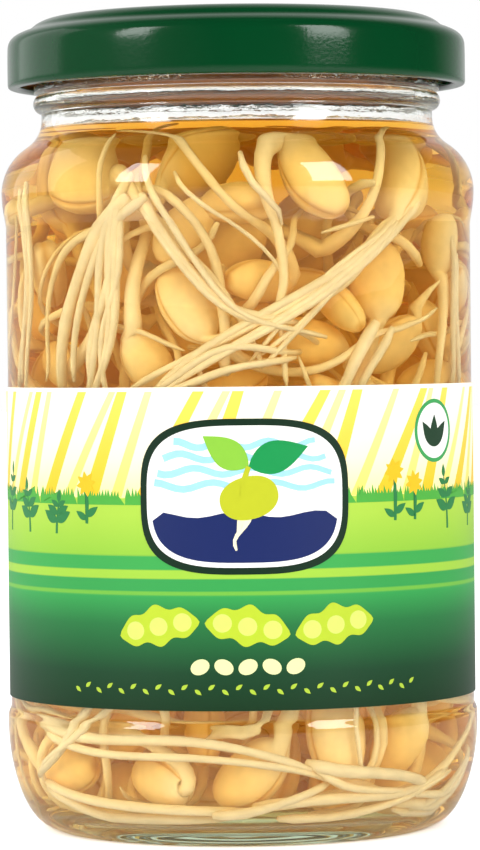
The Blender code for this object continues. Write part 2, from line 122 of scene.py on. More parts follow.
# Label
LABEL_BOTTOM = 20.5
LABEL_TOP = 67.5
LABEL_INNER = 35.56
LABEL_OUTER = 35.72
LABEL_HALF_TURN = 170.0
INK = 0.012  # one layer of ink
CELL = 1.3  # widest flat that a printed shape keeps once it is wrapped on the jar

# Brine
BRINE_LEVEL = 105.8
MENISCUS = 0.6
BRINE_FILM = 0.02  # from the glass, so that light meets the glass first and the brine next
GLASS_INDEX = 1.52
BRINE_INDEX = 1.34

# Sprouts, laid by the rule that the CAD frame lays them by
BEAN_LENGTH = 12.2
BEAN_WIDTH = 9.2
BEAN_THICKNESS = 7.8
ROOT_THICK = 1.55
ROOT_THIN = 0.6
STATION = 2.4
ROOT_STATIONS = 18
CLEARANCE = 0.22
CLEAR_TO = 30.0  # the brine is cloudy: sprouts further in than this radius are painted darker and given a painted amber glow
PAINTED_HAZE_DEPTH = 20.0
SEED_DRAWN_IN = 0.82  # the real seed is this much slimmer than the solid that holds its place
SPROUT_INSET = 1.3
BACK_SPROUTS = 22
BACK_START = 82.0  # bearing from which sprouts follow the rule, and how far round they go
BACK_TURN = 196.0
GOLDEN = 0.618034  # share of that turn from one to the next, which never lines up
ROOT_ROUND = 21.0  # degrees and millimetres that a root runs on from station to station
ROOT_UP = 11.0
SEED = 41
BALLS = 3 + ROOT_STATIONS  # balls that stand for one sprout while it is laid
LINK_SPANS = (1, 2, 3, 5)  # how far apart along a sprout two balls are that keep their distance
HOLD = 0.22  # how much of a lost distance they win back in a round
LAY_ROUNDS = 420
LAST_ROUNDS = 6  # rounds at the end in which sprouts only give way
CORE_ROUNDS = 110
CORE_OVERLAP = 0.94  # hidden sprouts may press into each other by this share of their reach
CORE_SPROUTS = 350
CORE_BUNDLES = 6
CORE_TOP = 98.5
BARE_SHARE = 0.3
STUB_SHARE = 0.4
DRIFTED_SEEDS = 30  # whole seeds with stubs that lie high in the middle, dim in the cloudy brine
STRAND_INSET = 0.3  # single roots lie flatter on the glass than whole sprouts do
STRAND_STATIONS = 21
BACK_FANS = 12
ROOTS_LOW = 4.6
ROOTS_HIGH = 102.5
DRIFTED_HEIGHTS = (84.0, 97.0)
DRIFTED_OUT = 23.0
CORE_HEIGHTS = (5.0, 88.0)
TURN_OUT = 27.0  # a wandering root turns back where it comes this far out,
TURN_LOW = 7.0  # this far down
TURN_HIGH = 92.0  # or this far up
ROOT_LEAST = 0.38  # no root is drawn thinner than this radius
BARE_ROOT = 0.75  # radius of a root that has lost its seed
SEED_DENTS = 0.32  # one dent or hump in about 3 mm of a seed
ROOT_HUMPS = 0.28  # one in about 4 mm of a root

# Tints of the sprouts. A painted glow stands in for light that wanders in flesh and cloudy brine,
# and painted shade darkens the tints where the brine is cloudy
SEED_YELLOW = "#F7D184"
SEED_CREAM = "#F8E0B6"
ROOT_CREAM = "#FAE3BB"
# painted shade in the groove between a seed's halves
SEAM_SHADE_OCHRE = "#DDA752"
# colour of the painted glow on sprouts deep in the cloudy brine
PAINTED_HAZE_AMBER = "#D49C38"
AMBER_LIGHT = "#FFEEB8"
PAINTED_FLESH_GLOW = 0.15
PAINTED_HAZE_GLOW = 0.28
PAINTED_HAZE_FROM = 80.0  # the painted shade and glow on the sprouts grow stronger above this height,
PAINTED_HAZE_RISE = 20.0  # over this much of it,
PAINTED_HAZE_MORE = 0.28  # by this share

# Sizes of the patterns in the finishes, in millimetres
RIPPLE = 11.1  # how far apart a mould leaves its ripples in glass
DEW = 3.85  # drops that have run together
MOTTLE = 2.38  # blotches in a seed's skin
ROLLER_GRAIN = 0.556  # the real grain, about 0.1, is too fine to show
COAT_CLOUD = 16.7  # slow changes in the coat's thickness
TIN_GRAIN = 1.11  # drawn coarser than the real grain, about 0.3, so that it shows
FLOW = 4.0  # waves where the compound ran
FIBRE = 0.4  # paper fibres are about 0.03 thick, too fine to show
INK_MOTTLE = 1.43  # drawn coarser than the real unevenness of the ink, about 0.3

# Settings that finishes share
CLEAR = {"Base Color": "#FFFFFF", "Roughness": 0.0, "Transmission Weight": 1.0}
TIMES = {"operation": "MULTIPLY"}

# Printed label
PRINT_GLOSS = {"Roughness": 0.45, "Specular IOR Level": 0.2}
RAYS = 44
RAY_FOOT = 51.5
RAY_TOP = 67.5
SEEDLINGS = (  # place along the label, foot, height, lean
    (-47, 46.0, 8.5, 1),
    (-38.5, 46.0, 6.2, -1),
    (-31, 46.0, 4.6, 0.6),
    (37, 46.0, 7.6, -1),
    (45.5, 46.0, 5.4, 1),
    (-80, 46.5, 8, 1),
    (-69, 46.5, 6, -1),
    (72, 46.5, 7, 1),
    (84, 46.5, 8.5, -1),
)

# Studio: what each kind of ray adds to the surround's full light or takes from it
SOFT_LIGHT = -0.64  # light on matt faces, so that the printed colours aren't washed out
OUTER_SHINE = -0.95  # the gloss of outer faces, so that lid and label keep their colour
FILL_LIGHT = 1.7  # light that reaches the contents through the glass
FILL_COLOUR = "#FFF8CE"
LAMP_DISTANCE = 1.2
LAMP_TOP = 1.2
LAMPS = (  # name, bearing, width, height of its lower edge in metres, power
    ("soft_box_left", -52.0, 360.0, 0.3, 9.5),
    ("soft_box_right", 46.0, 440.0, 0.26, 9.5),
    ("side_panel_left", -118.0, 900.0, 0.1, 0.9),
)
SHARES = (  # axis of the ray's direction, from, to, and the share of the change at each
    ("Y", 0.45, 0.92, 1.0, 0.3),  # outer shine: grazing rays keep more light
    ("X", -0.15, -0.95, 1.0, 0.7),  # outer shine: the left side keeps more
    ("X", -0.15, -0.95, 1.0, 0.2),  # soft light: the left side keeps more
    ("X", -1.0, 1.0, 1.5, 0.62),  # fill light: it fades from left to right
)
BOARD = {"Base Color": "#F7F7F7", "Roughness": 0.8, "Emission Color": "#FFFFFF"}
BOARD_GLOW = 0.58  # evens the board out to the white of the photograph
BOARD_IN_SHINE = -0.56  # hardly any of it in the shine of outer faces
BOARD_SEEN = 0.14  # a little more where the camera sees it
# painted shadow: the board's glow fades almost to nothing under the jar
PAINTED_SHADOW_UNDER_JAR = {
    "interpolation_type": "SMOOTHSTEP",
    "From Min": 0.025,
    "From Max": 0.034,
    "To Min": 0.03,
}
SENSOR = 36.0  # millimetres up the camera's sensor

# Camera, solved from the curves of the base, the label and the lid
CAMERA_DISTANCE = 620.0
CAMERA_HEIGHT = 73.5
CAMERA_PITCH = 1.13
CAMERA_ROLL = 0.61
FOCAL_PIXELS = 4040.0
PICTURE_HEIGHT = 850.0


def arc(centre, radii, start, end, steps):
    """Points on an arc of an ellipse, from start to end in degrees."""
    angles = np.radians(np.linspace(start, end, steps + 1))
    return [
        (centre[0] + radii[0] * math.cos(a), centre[1] + radii[1] * math.sin(a))
        for a in angles
    ]


def cavity_radius(height, inset=0.0):
    """Inner radius of the glass at a height, less an inset square to the wall."""
    heel = HEEL_ROUND - inset
    shoulder = INNER_SHOULDER_ROUND - inset
    throat = INNER_THROAT_ROUND + inset
    if height < HEEL_Z:
        return HEEL_X + math.sqrt(heel**2 - min(heel, HEEL_Z - height) ** 2)
    if height < SHOULDER_HEIGHT:
        return CAVITY_RADIUS - inset
    if height < SHOULDER_HEIGHT + shoulder * INNER_RISE / INNER_REACH:
        return INNER_SHOULDER_X + math.sqrt(shoulder**2 - (height - SHOULDER_HEIGHT) ** 2)
    if height < SHOULDER_HEIGHT + INNER_RISE:
        return INNER_THROAT_X - math.sqrt(throat**2 - (SHOULDER_HEIGHT + INNER_RISE - height) ** 2)
    return MOUTH_RADIUS - inset


def floor_height(radius, inset=0.0):
    """Height of the domed floor of the cavity at a radius."""
    return FLOOR_HEIGHT + FLOOR_DOME * (1 - min(1.0, radius / HEEL_X) ** 2) + inset


def cavity_profile(inset, top):
    """Profile of the cavity from its axis up the wall to a height."""
    radii = [HEEL_X * i / FLOOR_STEPS for i in range(FLOOR_STEPS)]
    points = [(radius, floor_height(radius, inset)) for radius in radii]
    points += arc((HEEL_X, HEEL_Z), (HEEL_ROUND - inset,) * 2, -90, 0, HEEL_STEPS)
    meet = (INNER_SHOULDER_ROUND - inset) * INNER_RISE / INNER_REACH
    heights = [SHOULDER_HEIGHT + meet * i / ROUND_STEPS for i in range(ROUND_STEPS)]
    heights += [
        SHOULDER_HEIGHT + meet + (INNER_RISE - meet) * i / ROUND_STEPS
        for i in range(ROUND_STEPS + 1)
    ]
    heights = [h for h in heights if h < top - 0.4] + [top]
    return points + [(cavity_radius(h, inset), h) for h in heights]


# Sprouts that show at the front: where the seed lies, as bearing, height and depth behind the
# glass, and where its root runs
LEAD_SPROUTS = (
    {"size": 1.08, "bean": (-14, 79, 0), "root": ((-7, 74, 1), (6, 71, 0), (18, 72, 0))},
    {"size": 0.92, "bean": (-24, 73, 0), "root": ((-27, 79, 0), (-31, 88, 0), (-32, 95, 3))},
    {"size": 1.0, "bean": (23, 97, 0), "root": ((16, 101, 2), (4, 102, 0), (8, 91, 0))},
    {"size": 1.1, "bean": (56, 97, 0), "root": ((50, 91, 0), (24, 80, 0), (-26, 69, 0))},
    {"size": 1.1, "bean": (46, 83, 1), "root": ((40, 76, 1), (33, 70, 0), (22, 60, 0))},
    {"size": 0.85, "bean": (6, 82, 0), "root": ((15, 82, 0), (14, 87, 0), (-14, 98, 1))},
    {"size": 1.05, "bean": (-53, 98, 2), "root": ((-32, 98, 0), (-13, 86, 0), (0, 75, 0))},
    {"size": 1.0, "bean": (-16, 100, 5), "root": ((-30, 99, 1), (-55, 88, 0), (-62, 72, 0))},
    {"size": 0.9, "bean": (-66, 70, 0), "root": ((-53, 68, 0), (-36, 76, 0), (-40, 90, 2))},
    {"size": 0.95, "bean": (22, 74, 1), "root": ((33, 72, 1), (44, 66, 0), (50, 52, 0))},
    {"size": 0.9, "bean": (73, 89, 0), "root": ((67, 80, 0), (64, 70, 0), (60, 58, 0))},
    {"size": 1.1, "bean": (-3, 88, 8), "root": ((8, 94, 9), (24, 86, 8), (36, 92, 4))},
    {"size": 1.0, "bean": (-3, 67, 4), "root": ((-14, 63, 2), (-28, 60, 2), (-45, 62, 2))},
    {"size": 1.05, "bean": (-24, 8, 0), "root": ((-13, 7, 0), (-12, 12, 0), (-55, 15, 0))},
    {"size": 1.1, "bean": (0, 9, 0), "root": ((10, 16, 3), (14, 24, 1), (2, 34, 1))},
    {"size": 1.15, "bean": (28, 16, 0), "root": ((30, 8, 0), (44, 7, 0), (68, 12, 0))},
    {"size": 0.95, "bean": (52, 14, 0), "root": ((56, 21, 0), (50, 30, 0), (34, 38, 0))},
    {"size": 0.95, "bean": (-58, 11, 0), "root": ((-70, 12, 1), (-84, 18, 0), (-90, 30, 0))},
    {"size": 1.0, "bean": (-76, 22, 2), "root": ((-60, 18, 0), (-22, 16, 0), (20, 6, 0))},
    {"size": 1.0, "bean": (-24, 33, 1), "root": ((-34, 24, 0), (-42, 16, 1), (-50, 7, 1))},
)

# Single roots that lie on the glass in fans: how many, their radius, how far apart they lie at
# the start and the end, and stations of bearing and height
FRONT_FANS = (
    (4, 0.52, 0.9, 3.4, ((57, 96), (23, 82), (-15, 71), (-34, 63))),
    (3, 0.48, 1.0, 1.8, ((48, 93), (30, 85), (15, 77), (0, 69))),
    (3, 0.68, 1.2, 0.9, ((-29, 98), (-17, 89), (-3, 79), (8, 77), (22, 75))),
    (2, 0.8, 2.2, 5.0, ((-22, 98), (-38, 92), (-50, 78), (-54, 61))),
    (3, 0.66, 1.8, 4.4, ((-29, 99), (-36, 88), (-37, 74), (-46, 61))),
    (2, 0.58, 1.6, 3.6, ((-33, 96), (-33, 84), (-40, 75), (-36, 61))),
    (1, 0.42, 0.0, 0.0, ((1, 102), (8, 95), (10, 89))),
    (1, 0.45, 0.0, 0.0, ((-17, 99), (0, 90), (14, 83))),
    (2, 0.65, 1.2, 1.5, ((-26, 66), (-3, 72), (17, 72))),
    (3, 0.62, 1.5, 2.5, ((-72, 100), (-66, 82), (-75, 61))),
    (2, 0.55, 1.0, 2.0, ((75, 92), (70, 78), (73, 61))),
    (2, 0.75, 1.6, 2.4, ((45, 79), (34, 71), (24, 61))),
    (2, 0.6, 1.0, 1.4, ((-69, 17), (-42, 14), (-13, 15), (13, 12), (26, 9))),
    (2, 0.75, 1.4, 2.2, ((-34, 24), (-54, 14), (-68, 8))),
    (2, 0.65, 1.0, 2.0, ((15, 14), (29, 10), (58, 8))),
    (1, 0.6, 0.0, 0.0, ((32, 24), (27, 16), (35, 9))),
    (1, 0.8, 0.0, 0.0, ((-14, 5.4), (5, 7.2), (26, 9))),
    (2, 0.56, 1.3, 0.9, ((-68, 9), (-46, 5.6), (-22, 4.8), (2, 5.4))),
    (2, 0.56, 0.9, 1.3, ((0, 4.8), (24, 5.4), (48, 6.0), (68, 10))),
)


def spot(bearing, height, depth, half=0.0):
    """The point at a bearing and a height, its near side this deep behind the glass."""
    angle = math.radians(bearing)
    radius = cavity_radius(height, SPROUT_INSET) - depth - half
    return np.array([radius * math.sin(angle), -radius * math.cos(angle), height])


def back_sprouts(draw):
    """Sprouts for the sides and back, spread evenly by bearing and height."""
    made = []
    for i in range(BACK_SPROUTS):
        share = (i + 0.5) / BACK_SPROUTS
        bearing = BACK_START + BACK_TURN * ((i * GOLDEN) % 1.0)
        height = 8.0 + 90.0 * share
        depth = 0.0 if i % 3 else 7.0
        heading = math.radians(draw.uniform(0.0, 360.0))
        bend = draw.uniform(-0.5, 0.5)
        root = []
        place = np.array([bearing, height])
        for _ in range(4):
            step = np.array([math.cos(heading) * ROOT_ROUND, math.sin(heading) * ROOT_UP])
            if not 8.0 < place[1] + step[1] < 100.0:
                step[1] = -step[1]
                heading = -heading
            place = place + step
            heading += bend
            root.append((place[0], place[1], max(0.0, depth + draw.uniform(-3.0, 2.0))))
        size = draw.uniform(0.88, 1.1)
        made.append({"size": size, "bean": (bearing, height, depth), "root": root})
    return made


def root_radius(share):
    """Radius of a root at a share of its length: stout, then thin, then a fine tail."""
    return ROOT_THIN + (ROOT_THICK - ROOT_THIN) * (1.0 - share) ** 1.3


def evenly(points, count, spacing):
    """Points at an even spacing along a line through the given ones, run on at its end."""
    line = [np.asarray(p, float) for p in points]
    end = line[-1] - line[-2]
    line.append(line[-1] + end * (count * spacing / np.linalg.norm(end)))
    made = [line[0]]
    here, target = line[0], 1
    while len(made) < count:
        gap = np.linalg.norm(line[target] - here)
        if gap < spacing:
            target += 1
            if target == len(line):
                break
            continue
        here = here + (line[target] - here) * (spacing / gap)
        made.append(here)
    return np.array(made)


def reach_of(size):
    """Radii of a sprout's balls: three along its seed, then one for each station of its root."""
    reach = math.sqrt((BEAN_WIDTH / 2) ** 2 - 0.8) * size
    radii = [reach * 0.98, BEAN_WIDTH / 2 * size, reach * 0.98] if size else [1.3] * 3
    stations = range(ROOT_STATIONS)
    radii += [math.hypot(root_radius(i / (ROOT_STATIONS - 1)), STATION / 2) for i in stations]
    return np.array(radii)


def first_lay(sprout):
    """Balls along one sprout before it is eased: three through its bean, then its root."""
    size = sprout["size"]
    middle = spot(*sprout["bean"], BEAN_WIDTH / 2 * size)
    stations = [spot(*station, ROOT_THICK) for station in sprout["root"]]
    aim = stations[0] - middle
    aim /= np.linalg.norm(aim)
    inner = BEAN_LENGTH * size / 6
    bean = [middle - aim * inner, middle, middle + aim * inner]
    neck = middle + aim * (BEAN_LENGTH * size / 2)
    root = evenly([neck, *stations], ROOT_STATIONS, STATION)
    for _ in range(5):
        root[1:-1] = (root[:-2] + 2 * root[1:-1] + root[2:]) / 4
    return np.vstack([bean, root]), reach_of(size)


def spread(target, index, weight, shift):
    """Adds each weighted shift to the ball that it belongs to."""
    for axis in range(3):
        target[:, axis] += np.bincount(
            index, weights=weight * shift[:, axis], minlength=len(target)
        )


def inside_heel(x, y, z, radius):
    """A ball's place, moved out of the rounded heel of the cavity if it is in the glass."""
    out = math.hypot(x, y)
    if z >= HEEL_Z or out <= HEEL_X:
        return x, y, z
    away = math.hypot(out - HEEL_X, HEEL_Z - z)
    most = HEEL_ROUND - SPROUT_INSET - radius
    if away <= most:
        return x, y, z
    if most <= 0:
        scale = (HEEL_X + most) / out
        return x * scale, y * scale, HEEL_Z
    scale = (HEEL_X + (out - HEEL_X) * most / away) / out
    return x * scale, y * scale, HEEL_Z - (HEEL_Z - z) * most / away


def keep_inside(balls, radii):
    """Holds every ball within the hole in the brine, above the floor and under the level."""
    for i, (x, y, z) in enumerate(balls):
        radius = radii[i]
        z = min(z, BRINE_LEVEL - 1.2 - radius)
        z = max(z, floor_height(math.hypot(x, y), SPROUT_INSET) + radius)
        x, y, z = inside_heel(x, y, z, radius)
        most = cavity_radius(max(z, HEEL_Z), SPROUT_INSET + radius)
        if z > SHOULDER_HEIGHT:
            shoulder = min(z + radius * 0.7, BRINE_LEVEL)
            most = min(most, cavity_radius(shoulder, SPROUT_INSET) - radius * 0.75)
        out = math.hypot(x, y)
        if out > most:
            x, y = x * most / out, y * most / out
        balls[i] = (x, y, z)


def linked(first_sprout, balls):
    """Pairs of balls along each sprout from this one on, and how far apart they were laid."""
    first, second = [], []
    for base in range(first_sprout * BALLS, len(balls), BALLS):
        for span in LINK_SPANS:
            first += range(base, base + BALLS - span)
            second += range(base + span, base + BALLS)
    first, second = np.array(first), np.array(second)
    return first, second, np.linalg.norm(balls[second] - balls[first], axis=1)


def push_apart(balls, share, pairs, reach, rate):
    """Moves the balls of each pair apart if they are closer than their reach."""
    a, b = pairs
    step = balls[b] - balls[a]
    gap = np.sqrt((step**2).sum(1)) + 1e-9
    crowd = np.maximum(0.0, reach - gap)
    push = step * (crowd / gap / (share[a] + share[b]) * rate)[:, None]
    spread(balls, a, -share[a], push)
    spread(balls, b, share[b], push)


def hold_form(balls, share, links):
    """Draws linked balls back to their distance, so that a sprout keeps its curve."""
    first, second, length = links
    step = balls[second] - balls[first]
    gap = np.sqrt((step**2).sum(1)) + 1e-9
    give = (gap - length) / gap / (share[first] + share[second])
    pull = step * (give * HOLD)[:, None]
    spread(balls, first, share[first], pull)
    spread(balls, second, -share[second], pull)


def ease_apart(balls, radii, owner):
    """Moves balls that crowd each other apart, a little each round, until sprouts lie clear."""
    links = linked(0, balls)
    low, high = np.triu_indices(len(balls), 1)
    apart = (owner[low] != owner[high]) | (high - low > 5)
    low, high = low[apart], high[apart]
    share = 1.0 / radii**2
    for turn in range(LAY_ROUNDS):
        if turn % 12 == 0:  # pairs that can meet before the next look
            gap = np.linalg.norm(balls[high] - balls[low], axis=1)
            near = gap < radii[low] + radii[high] + 3.0
            a, b = low[near], high[near]
        push_apart(balls, share, (a, b), radii[a] + radii[b] + 2 * CLEARANCE, 0.6)
        if turn < LAY_ROUNDS - LAST_ROUNDS:
            hold_form(balls, share, links)
        keep_inside(balls, radii)


def lay_sprouts():
    """Lays every sprout in the jar. Gives each one's balls, the first three being its bean."""
    sprouts = [*LEAD_SPROUTS, *back_sprouts(np.random.default_rng(SEED))]
    laid = [first_lay(sprout) for sprout in sprouts]
    balls = np.vstack([points for points, _ in laid])
    radii = np.concatenate([reach for _, reach in laid])
    ease_apart(balls, radii, np.repeat(np.arange(len(laid)), BALLS))
    return [
        (sprout["size"], balls[i * BALLS : (i + 1) * BALLS]) for i, sprout in enumerate(sprouts)
    ]


def softened(profile, rounds=2):
    """A profile with its corners cut back, so that it turns in small steps."""
    points = [Vector(p) for p in profile]
    for _ in range(rounds):
        cut = [points[0]]
        for a, b in zip(points, points[1:]):
            cut += [a.lerp(b, 0.25), a.lerp(b, 0.75)]
        points = [*cut, points[-1]]
    return [tuple(p) for p in points]


def linear(hex_colour):
    """An sRGB hex colour as linear light, opaque."""
    shades = [int(hex_colour[i : i + 2], 16) / 255 for i in (1, 3, 5)]
    return (*(s / 12.92 if s < 0.04045 else ((s + 0.055) / 1.055) ** 2.4 for s in shades), 1.0)


def setting(value):
    """A setting as Blender takes it: a hex colour as linear light, anything else as it is."""
    return linear(value) if str(value)[0] == "#" else value


def grain(size, detail=2.0):
    """Settings of a noise by the real size of its features, counted per metre to the ten."""
    return {"Scale": round(1.0 / (size * MM), -1), "Detail": detail}


def finish(name, settings):
    """A new material, its tree and its shader, whose own sockets take the settings."""
    made = bpy.data.materials.new(name)
    made.use_nodes = True
    shader = made.node_tree.nodes["Principled BSDF"]
    for key, value in settings.items():
        shader.inputs[key].default_value = setting(value)
    return made, made.node_tree, shader


def feed(tree, target, links):
    """Links sources, each a socket or a node's first output, to the target's named sockets."""
    for key, source in links.items():
        socket = target.inputs[int(key[1:]) if key[0] == "_" else key]
        tree.links.new(getattr(source, "outputs", [source])[0], socket)


def add(tree, kind, settings=None, **links):
    """Adds a node. Settings name its properties or its sockets; links name sockets it reads."""
    made = tree.nodes.new(kind)
    for key, value in (settings or {}).items():
        if isinstance(key, str) and hasattr(made, key):
            setattr(made, key, value)
        else:
            made.inputs[key].default_value = setting(value)
    feed(tree, made, links)
    return made


def wetted(tree, shader, dry, wet):
    """Lets a clear shader bend light less where its surface is wet, by the mesh's own mark."""
    mark = add(tree, "ShaderNodeAttribute", {"attribute_name": "wet"})
    span = {"From Min": 0.0, "From Max": 1.0, "To Min": dry, "To Max": wet}
    index = add(tree, "ShaderNodeMapRange", span, Value=mark.outputs["Fac"])
    feed(tree, shader, {"IOR": index})


def soda_lime_glass():
    """Moulded soda-lime glass: clear, faintly green where it is thick, with a mould's ripple.

    Where brine wets it, light bends only as it does from glass to brine, so the wall shows no
    second shine there. In the neck, above the brine, dew breaks up what is seen through it.
    """
    made, tree, shader = finish("soda_lime_glass_moulded", CLEAR)
    wetted(tree, shader, GLASS_INDEX, GLASS_INDEX / BRINE_INDEX)
    place = add(tree, "ShaderNodeTexCoord").outputs["Object"]
    ripple = add(tree, "ShaderNodeTexNoise", grain(RIPPLE, 1.0), Vector=place)
    flat = add(tree, "ShaderNodeMapping", {"Scale": (1.0, 1.0, 3.0)}, Vector=place)
    dew = add(tree, "ShaderNodeTexNoise", grain(DEW, 3.0), Vector=flat)
    height = add(tree, "ShaderNodeSeparateXYZ", _0=place).outputs["Z"]
    above = {"From Min": (BRINE_LEVEL + 0.5) * MM, "From Max": (BRINE_LEVEL + 2.5) * MM}
    neck = add(tree, "ShaderNodeMapRange", {**above, "To Max": 1.6}, Value=height)
    relief = add(
        tree, "ShaderNodeMath", {"operation": "MULTIPLY_ADD"}, _0=dew, _1=neck, _2=ripple
    )
    bump = add(tree, "ShaderNodeBump", {"Strength": 0.1, "Distance": 0.0004}, Height=relief)
    green = {"Color": "#CBE1C8", "Density": 28.0}
    tint = add(tree, "ShaderNodeVolumeAbsorption", green)
    feed(tree, shader, {"Normal": bump})
    feed(tree, tree.nodes["Material Output"], {"Volume": tint})
    return made


def amber_brine():
    """Salt water that has drawn amber out of the beans: what lies deeper looks more golden.

    Its sides touch wet glass, where the glass does the bending, so light passes them straight.
    """
    made, tree, shader = finish("amber_brine", CLEAR)
    wetted(tree, shader, BRINE_INDEX, 1.0)
    amber = {"Color": "#F9DF59", "Density": 66.0}
    tint = add(tree, "ShaderNodeVolumeAbsorption", amber)
    feed(tree, tree.nodes["Material Output"], {"Volume": tint})
    return made


def soaked_seed():
    """Cooked, soaked soybean: soft, wax-like flesh, mottled under a wet skin.

    The mesh carries its tints, painted darker as shade where the brine is cloudy, and a faint
    painted glow for the light that wanders in the flesh and in the cloudy brine. The index is what
    wet flesh has against brine.
    """
    made, tree, shader = finish(
        "soaked_soybean_sprout", {"Roughness": 0.3, "IOR": 1.09, "Emission Strength": 1.0}
    )
    made.cycles.emission_sampling = "NONE"
    # the tint layer holds painted shade as well as the sprouts' colours; the glow layer is painted
    # light
    tint = add(tree, "ShaderNodeVertexColor", {"layer_name": "tint"})
    glow = add(tree, "ShaderNodeVertexColor", {"layer_name": "glow"})
    place = add(tree, "ShaderNodeTexCoord").outputs["Object"]
    blotch = {**grain(MOTTLE, 3.0), "Roughness": 0.6}
    mottle = add(tree, "ShaderNodeTexNoise", blotch, Vector=place)
    range_of_tone = {"From Min": 0.3, "From Max": 0.75, "To Min": 0.9, "To Max": 1.06}
    tone = add(tree, "ShaderNodeMapRange", range_of_tone, Value=mottle)
    shade = add(tree, "ShaderNodeVectorMath", {"operation": "SCALE"}, _0=tint, Scale=tone)
    bump = add(tree, "ShaderNodeBump", {"Strength": 0.25, "Distance": 0.0002}, Height=mottle)
    feed(tree, shader, {"Base Color": shade, "Normal": bump, "Emission Color": glow})
    return made


def lacquered_tinplate():
    """Green coil lacquer on tinplate: dark, glossy, with the fine grain of its roller."""
    made, tree, shader = finish(
        "green_lacquered_tinplate", {"Roughness": 0.15, "Specular IOR Level": 0.4, "IOR": 1.45}
    )
    place = add(tree, "ShaderNodeTexCoord").outputs["Object"]
    rolled = add(tree, "ShaderNodeTexNoise", grain(ROLLER_GRAIN), Vector=place)
    cloud = add(tree, "ShaderNodeTexNoise", grain(COAT_CLOUD, 3.0), Vector=place)
    greens = {"Color1": "#003317", "Color2": "#003E1D"}
    tone = add(tree, "ShaderNodeMixRGB", greens, Fac=cloud)
    bump = add(tree, "ShaderNodeBump", {"Strength": 0.35, "Distance": 0.00004}, Height=rolled)
    feed(tree, shader, {"Base Color": tone, "Normal": bump})
    return made


def gold_lacquer():
    """Clear gold lacquer over tin, inside the lid: warm, half metallic, seen through the neck."""
    made, tree, shader = finish("gold_lacquered_tinplate", {"Metallic": 0.35, "Roughness": 0.4})
    place = add(tree, "ShaderNodeTexCoord").outputs["Object"]
    drawn = add(tree, "ShaderNodeTexNoise", grain(TIN_GRAIN), Vector=place)
    golds = {"Color1": "#A8703C", "Color2": "#BA8450"}
    feed(tree, shader, {"Base Color": add(tree, "ShaderNodeMixRGB", golds, Fac=drawn)})
    return made


def sealing_compound():
    """Flowed-in plastisol: off-white, dull and slightly rubbery, in slow waves of tone."""
    made, tree, shader = finish("plastisol_sealing_compound", {"Roughness": 0.5})
    place = add(tree, "ShaderNodeTexCoord").outputs["Object"]
    flow = add(tree, "ShaderNodeTexNoise", grain(FLOW), Vector=place)
    whites = {"Color1": "#D8D2C2", "Color2": "#E4DFD2"}
    feed(tree, shader, {"Base Color": add(tree, "ShaderNodeMixRGB", whites, Fac=flow)})
    return made


def printed_paper():
    """Coated label paper: pale, barely glossy. Its ground is printed in bands up its height."""
    made, tree, shader = finish("coated_label_paper", PRINT_GLOSS)
    place = add(tree, "ShaderNodeTexCoord").outputs["Object"]
    up = add(tree, "ShaderNodeSeparateXYZ", _0=place).outputs["Z"]
    span = {"From Min": LABEL_BOTTOM * MM, "From Max": LABEL_TOP * MM}
    height = add(tree, "ShaderNodeMapRange", span, Value=up)
    bands = add(tree, "ShaderNodeValToRGB", Fac=height)
    stops = (
        (20.5, "#0D3217"),
        (26.0, "#134124"),
        (33.0, "#22703A"),
        (37.2, "#329A4B"),
        (37.25, "#6DB23F"),
        (37.8, "#6DB23F"),
        (37.85, "#34994A"),
        (39.7, "#34994A"),
        (39.75, "#9AC63E"),
        (41.0, "#9AC63E"),
        (41.05, "#3AA04B"),
        (43.0, "#3AA04B"),
        (43.1, "#8CBF3A"),
        (49.0, "#A5CB44"),
        (51.4, "#A5CB44"),
        (51.5, "#FFEAA0"),
        (57.0, "#FFF4CC"),
        (67.5, "#FDFAEC"),
    )
    ramp = bands.color_ramp
    while len(ramp.elements) < len(stops):
        ramp.elements.new(0.5)
    for element, (level, colour) in zip(ramp.elements, stops):
        element.position = (level - LABEL_BOTTOM) / (LABEL_TOP - LABEL_BOTTOM)
        element.color = linear(colour)
    fibre = add(tree, "ShaderNodeTexNoise", grain(FIBRE), Vector=place)
    bump = add(tree, "ShaderNodeBump", {"Strength": 0.15, "Distance": 0.00003}, Height=fibre)
    feed(tree, shader, {"Base Color": bands, "Normal": bump})
    return made


def ink(name, colour, top_colour=None):
    """Offset ink on coated paper: flat and faintly uneven, or one that fades upwards."""
    made, tree, shader = finish(name, PRINT_GLOSS)
    place = add(tree, "ShaderNodeTexCoord").outputs["Object"]
    first = linear(colour)
    if top_colour:
        up = add(tree, "ShaderNodeSeparateXYZ", _0=place).outputs["Z"]
        span = {"From Min": RAY_FOOT * MM, "From Max": RAY_TOP * MM}
        share = add(tree, "ShaderNodeMapRange", span, Value=up)
        second = linear(top_colour)
    else:
        share = add(tree, "ShaderNodeTexNoise", grain(INK_MOTTLE), Vector=place)
        second = (*(c * 0.93 for c in first[:3]), 1.0)
    tone = add(tree, "ShaderNodeMixRGB", {"Color1": first, "Color2": second}, Fac=share)
    feed(tree, shader, {"Base Color": tone})
    return made


def keep(obj, body, slot_name, *nodes):
    """Lets a piece ride its body, and hides the nodes that it stands for. The name of its finish is
    not used.
    """
    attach(obj, body)
    if nodes:
        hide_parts(*nodes)
    return obj


def new_piece(name, mesh, *finishes):
    """A mesh with its finishes, as an object in the scene."""
    for one in finishes:
        mesh.materials.append(one)
    obj = bpy.data.objects.new(name, mesh)
    bpy.context.scene.collection.objects.link(obj)
    return obj


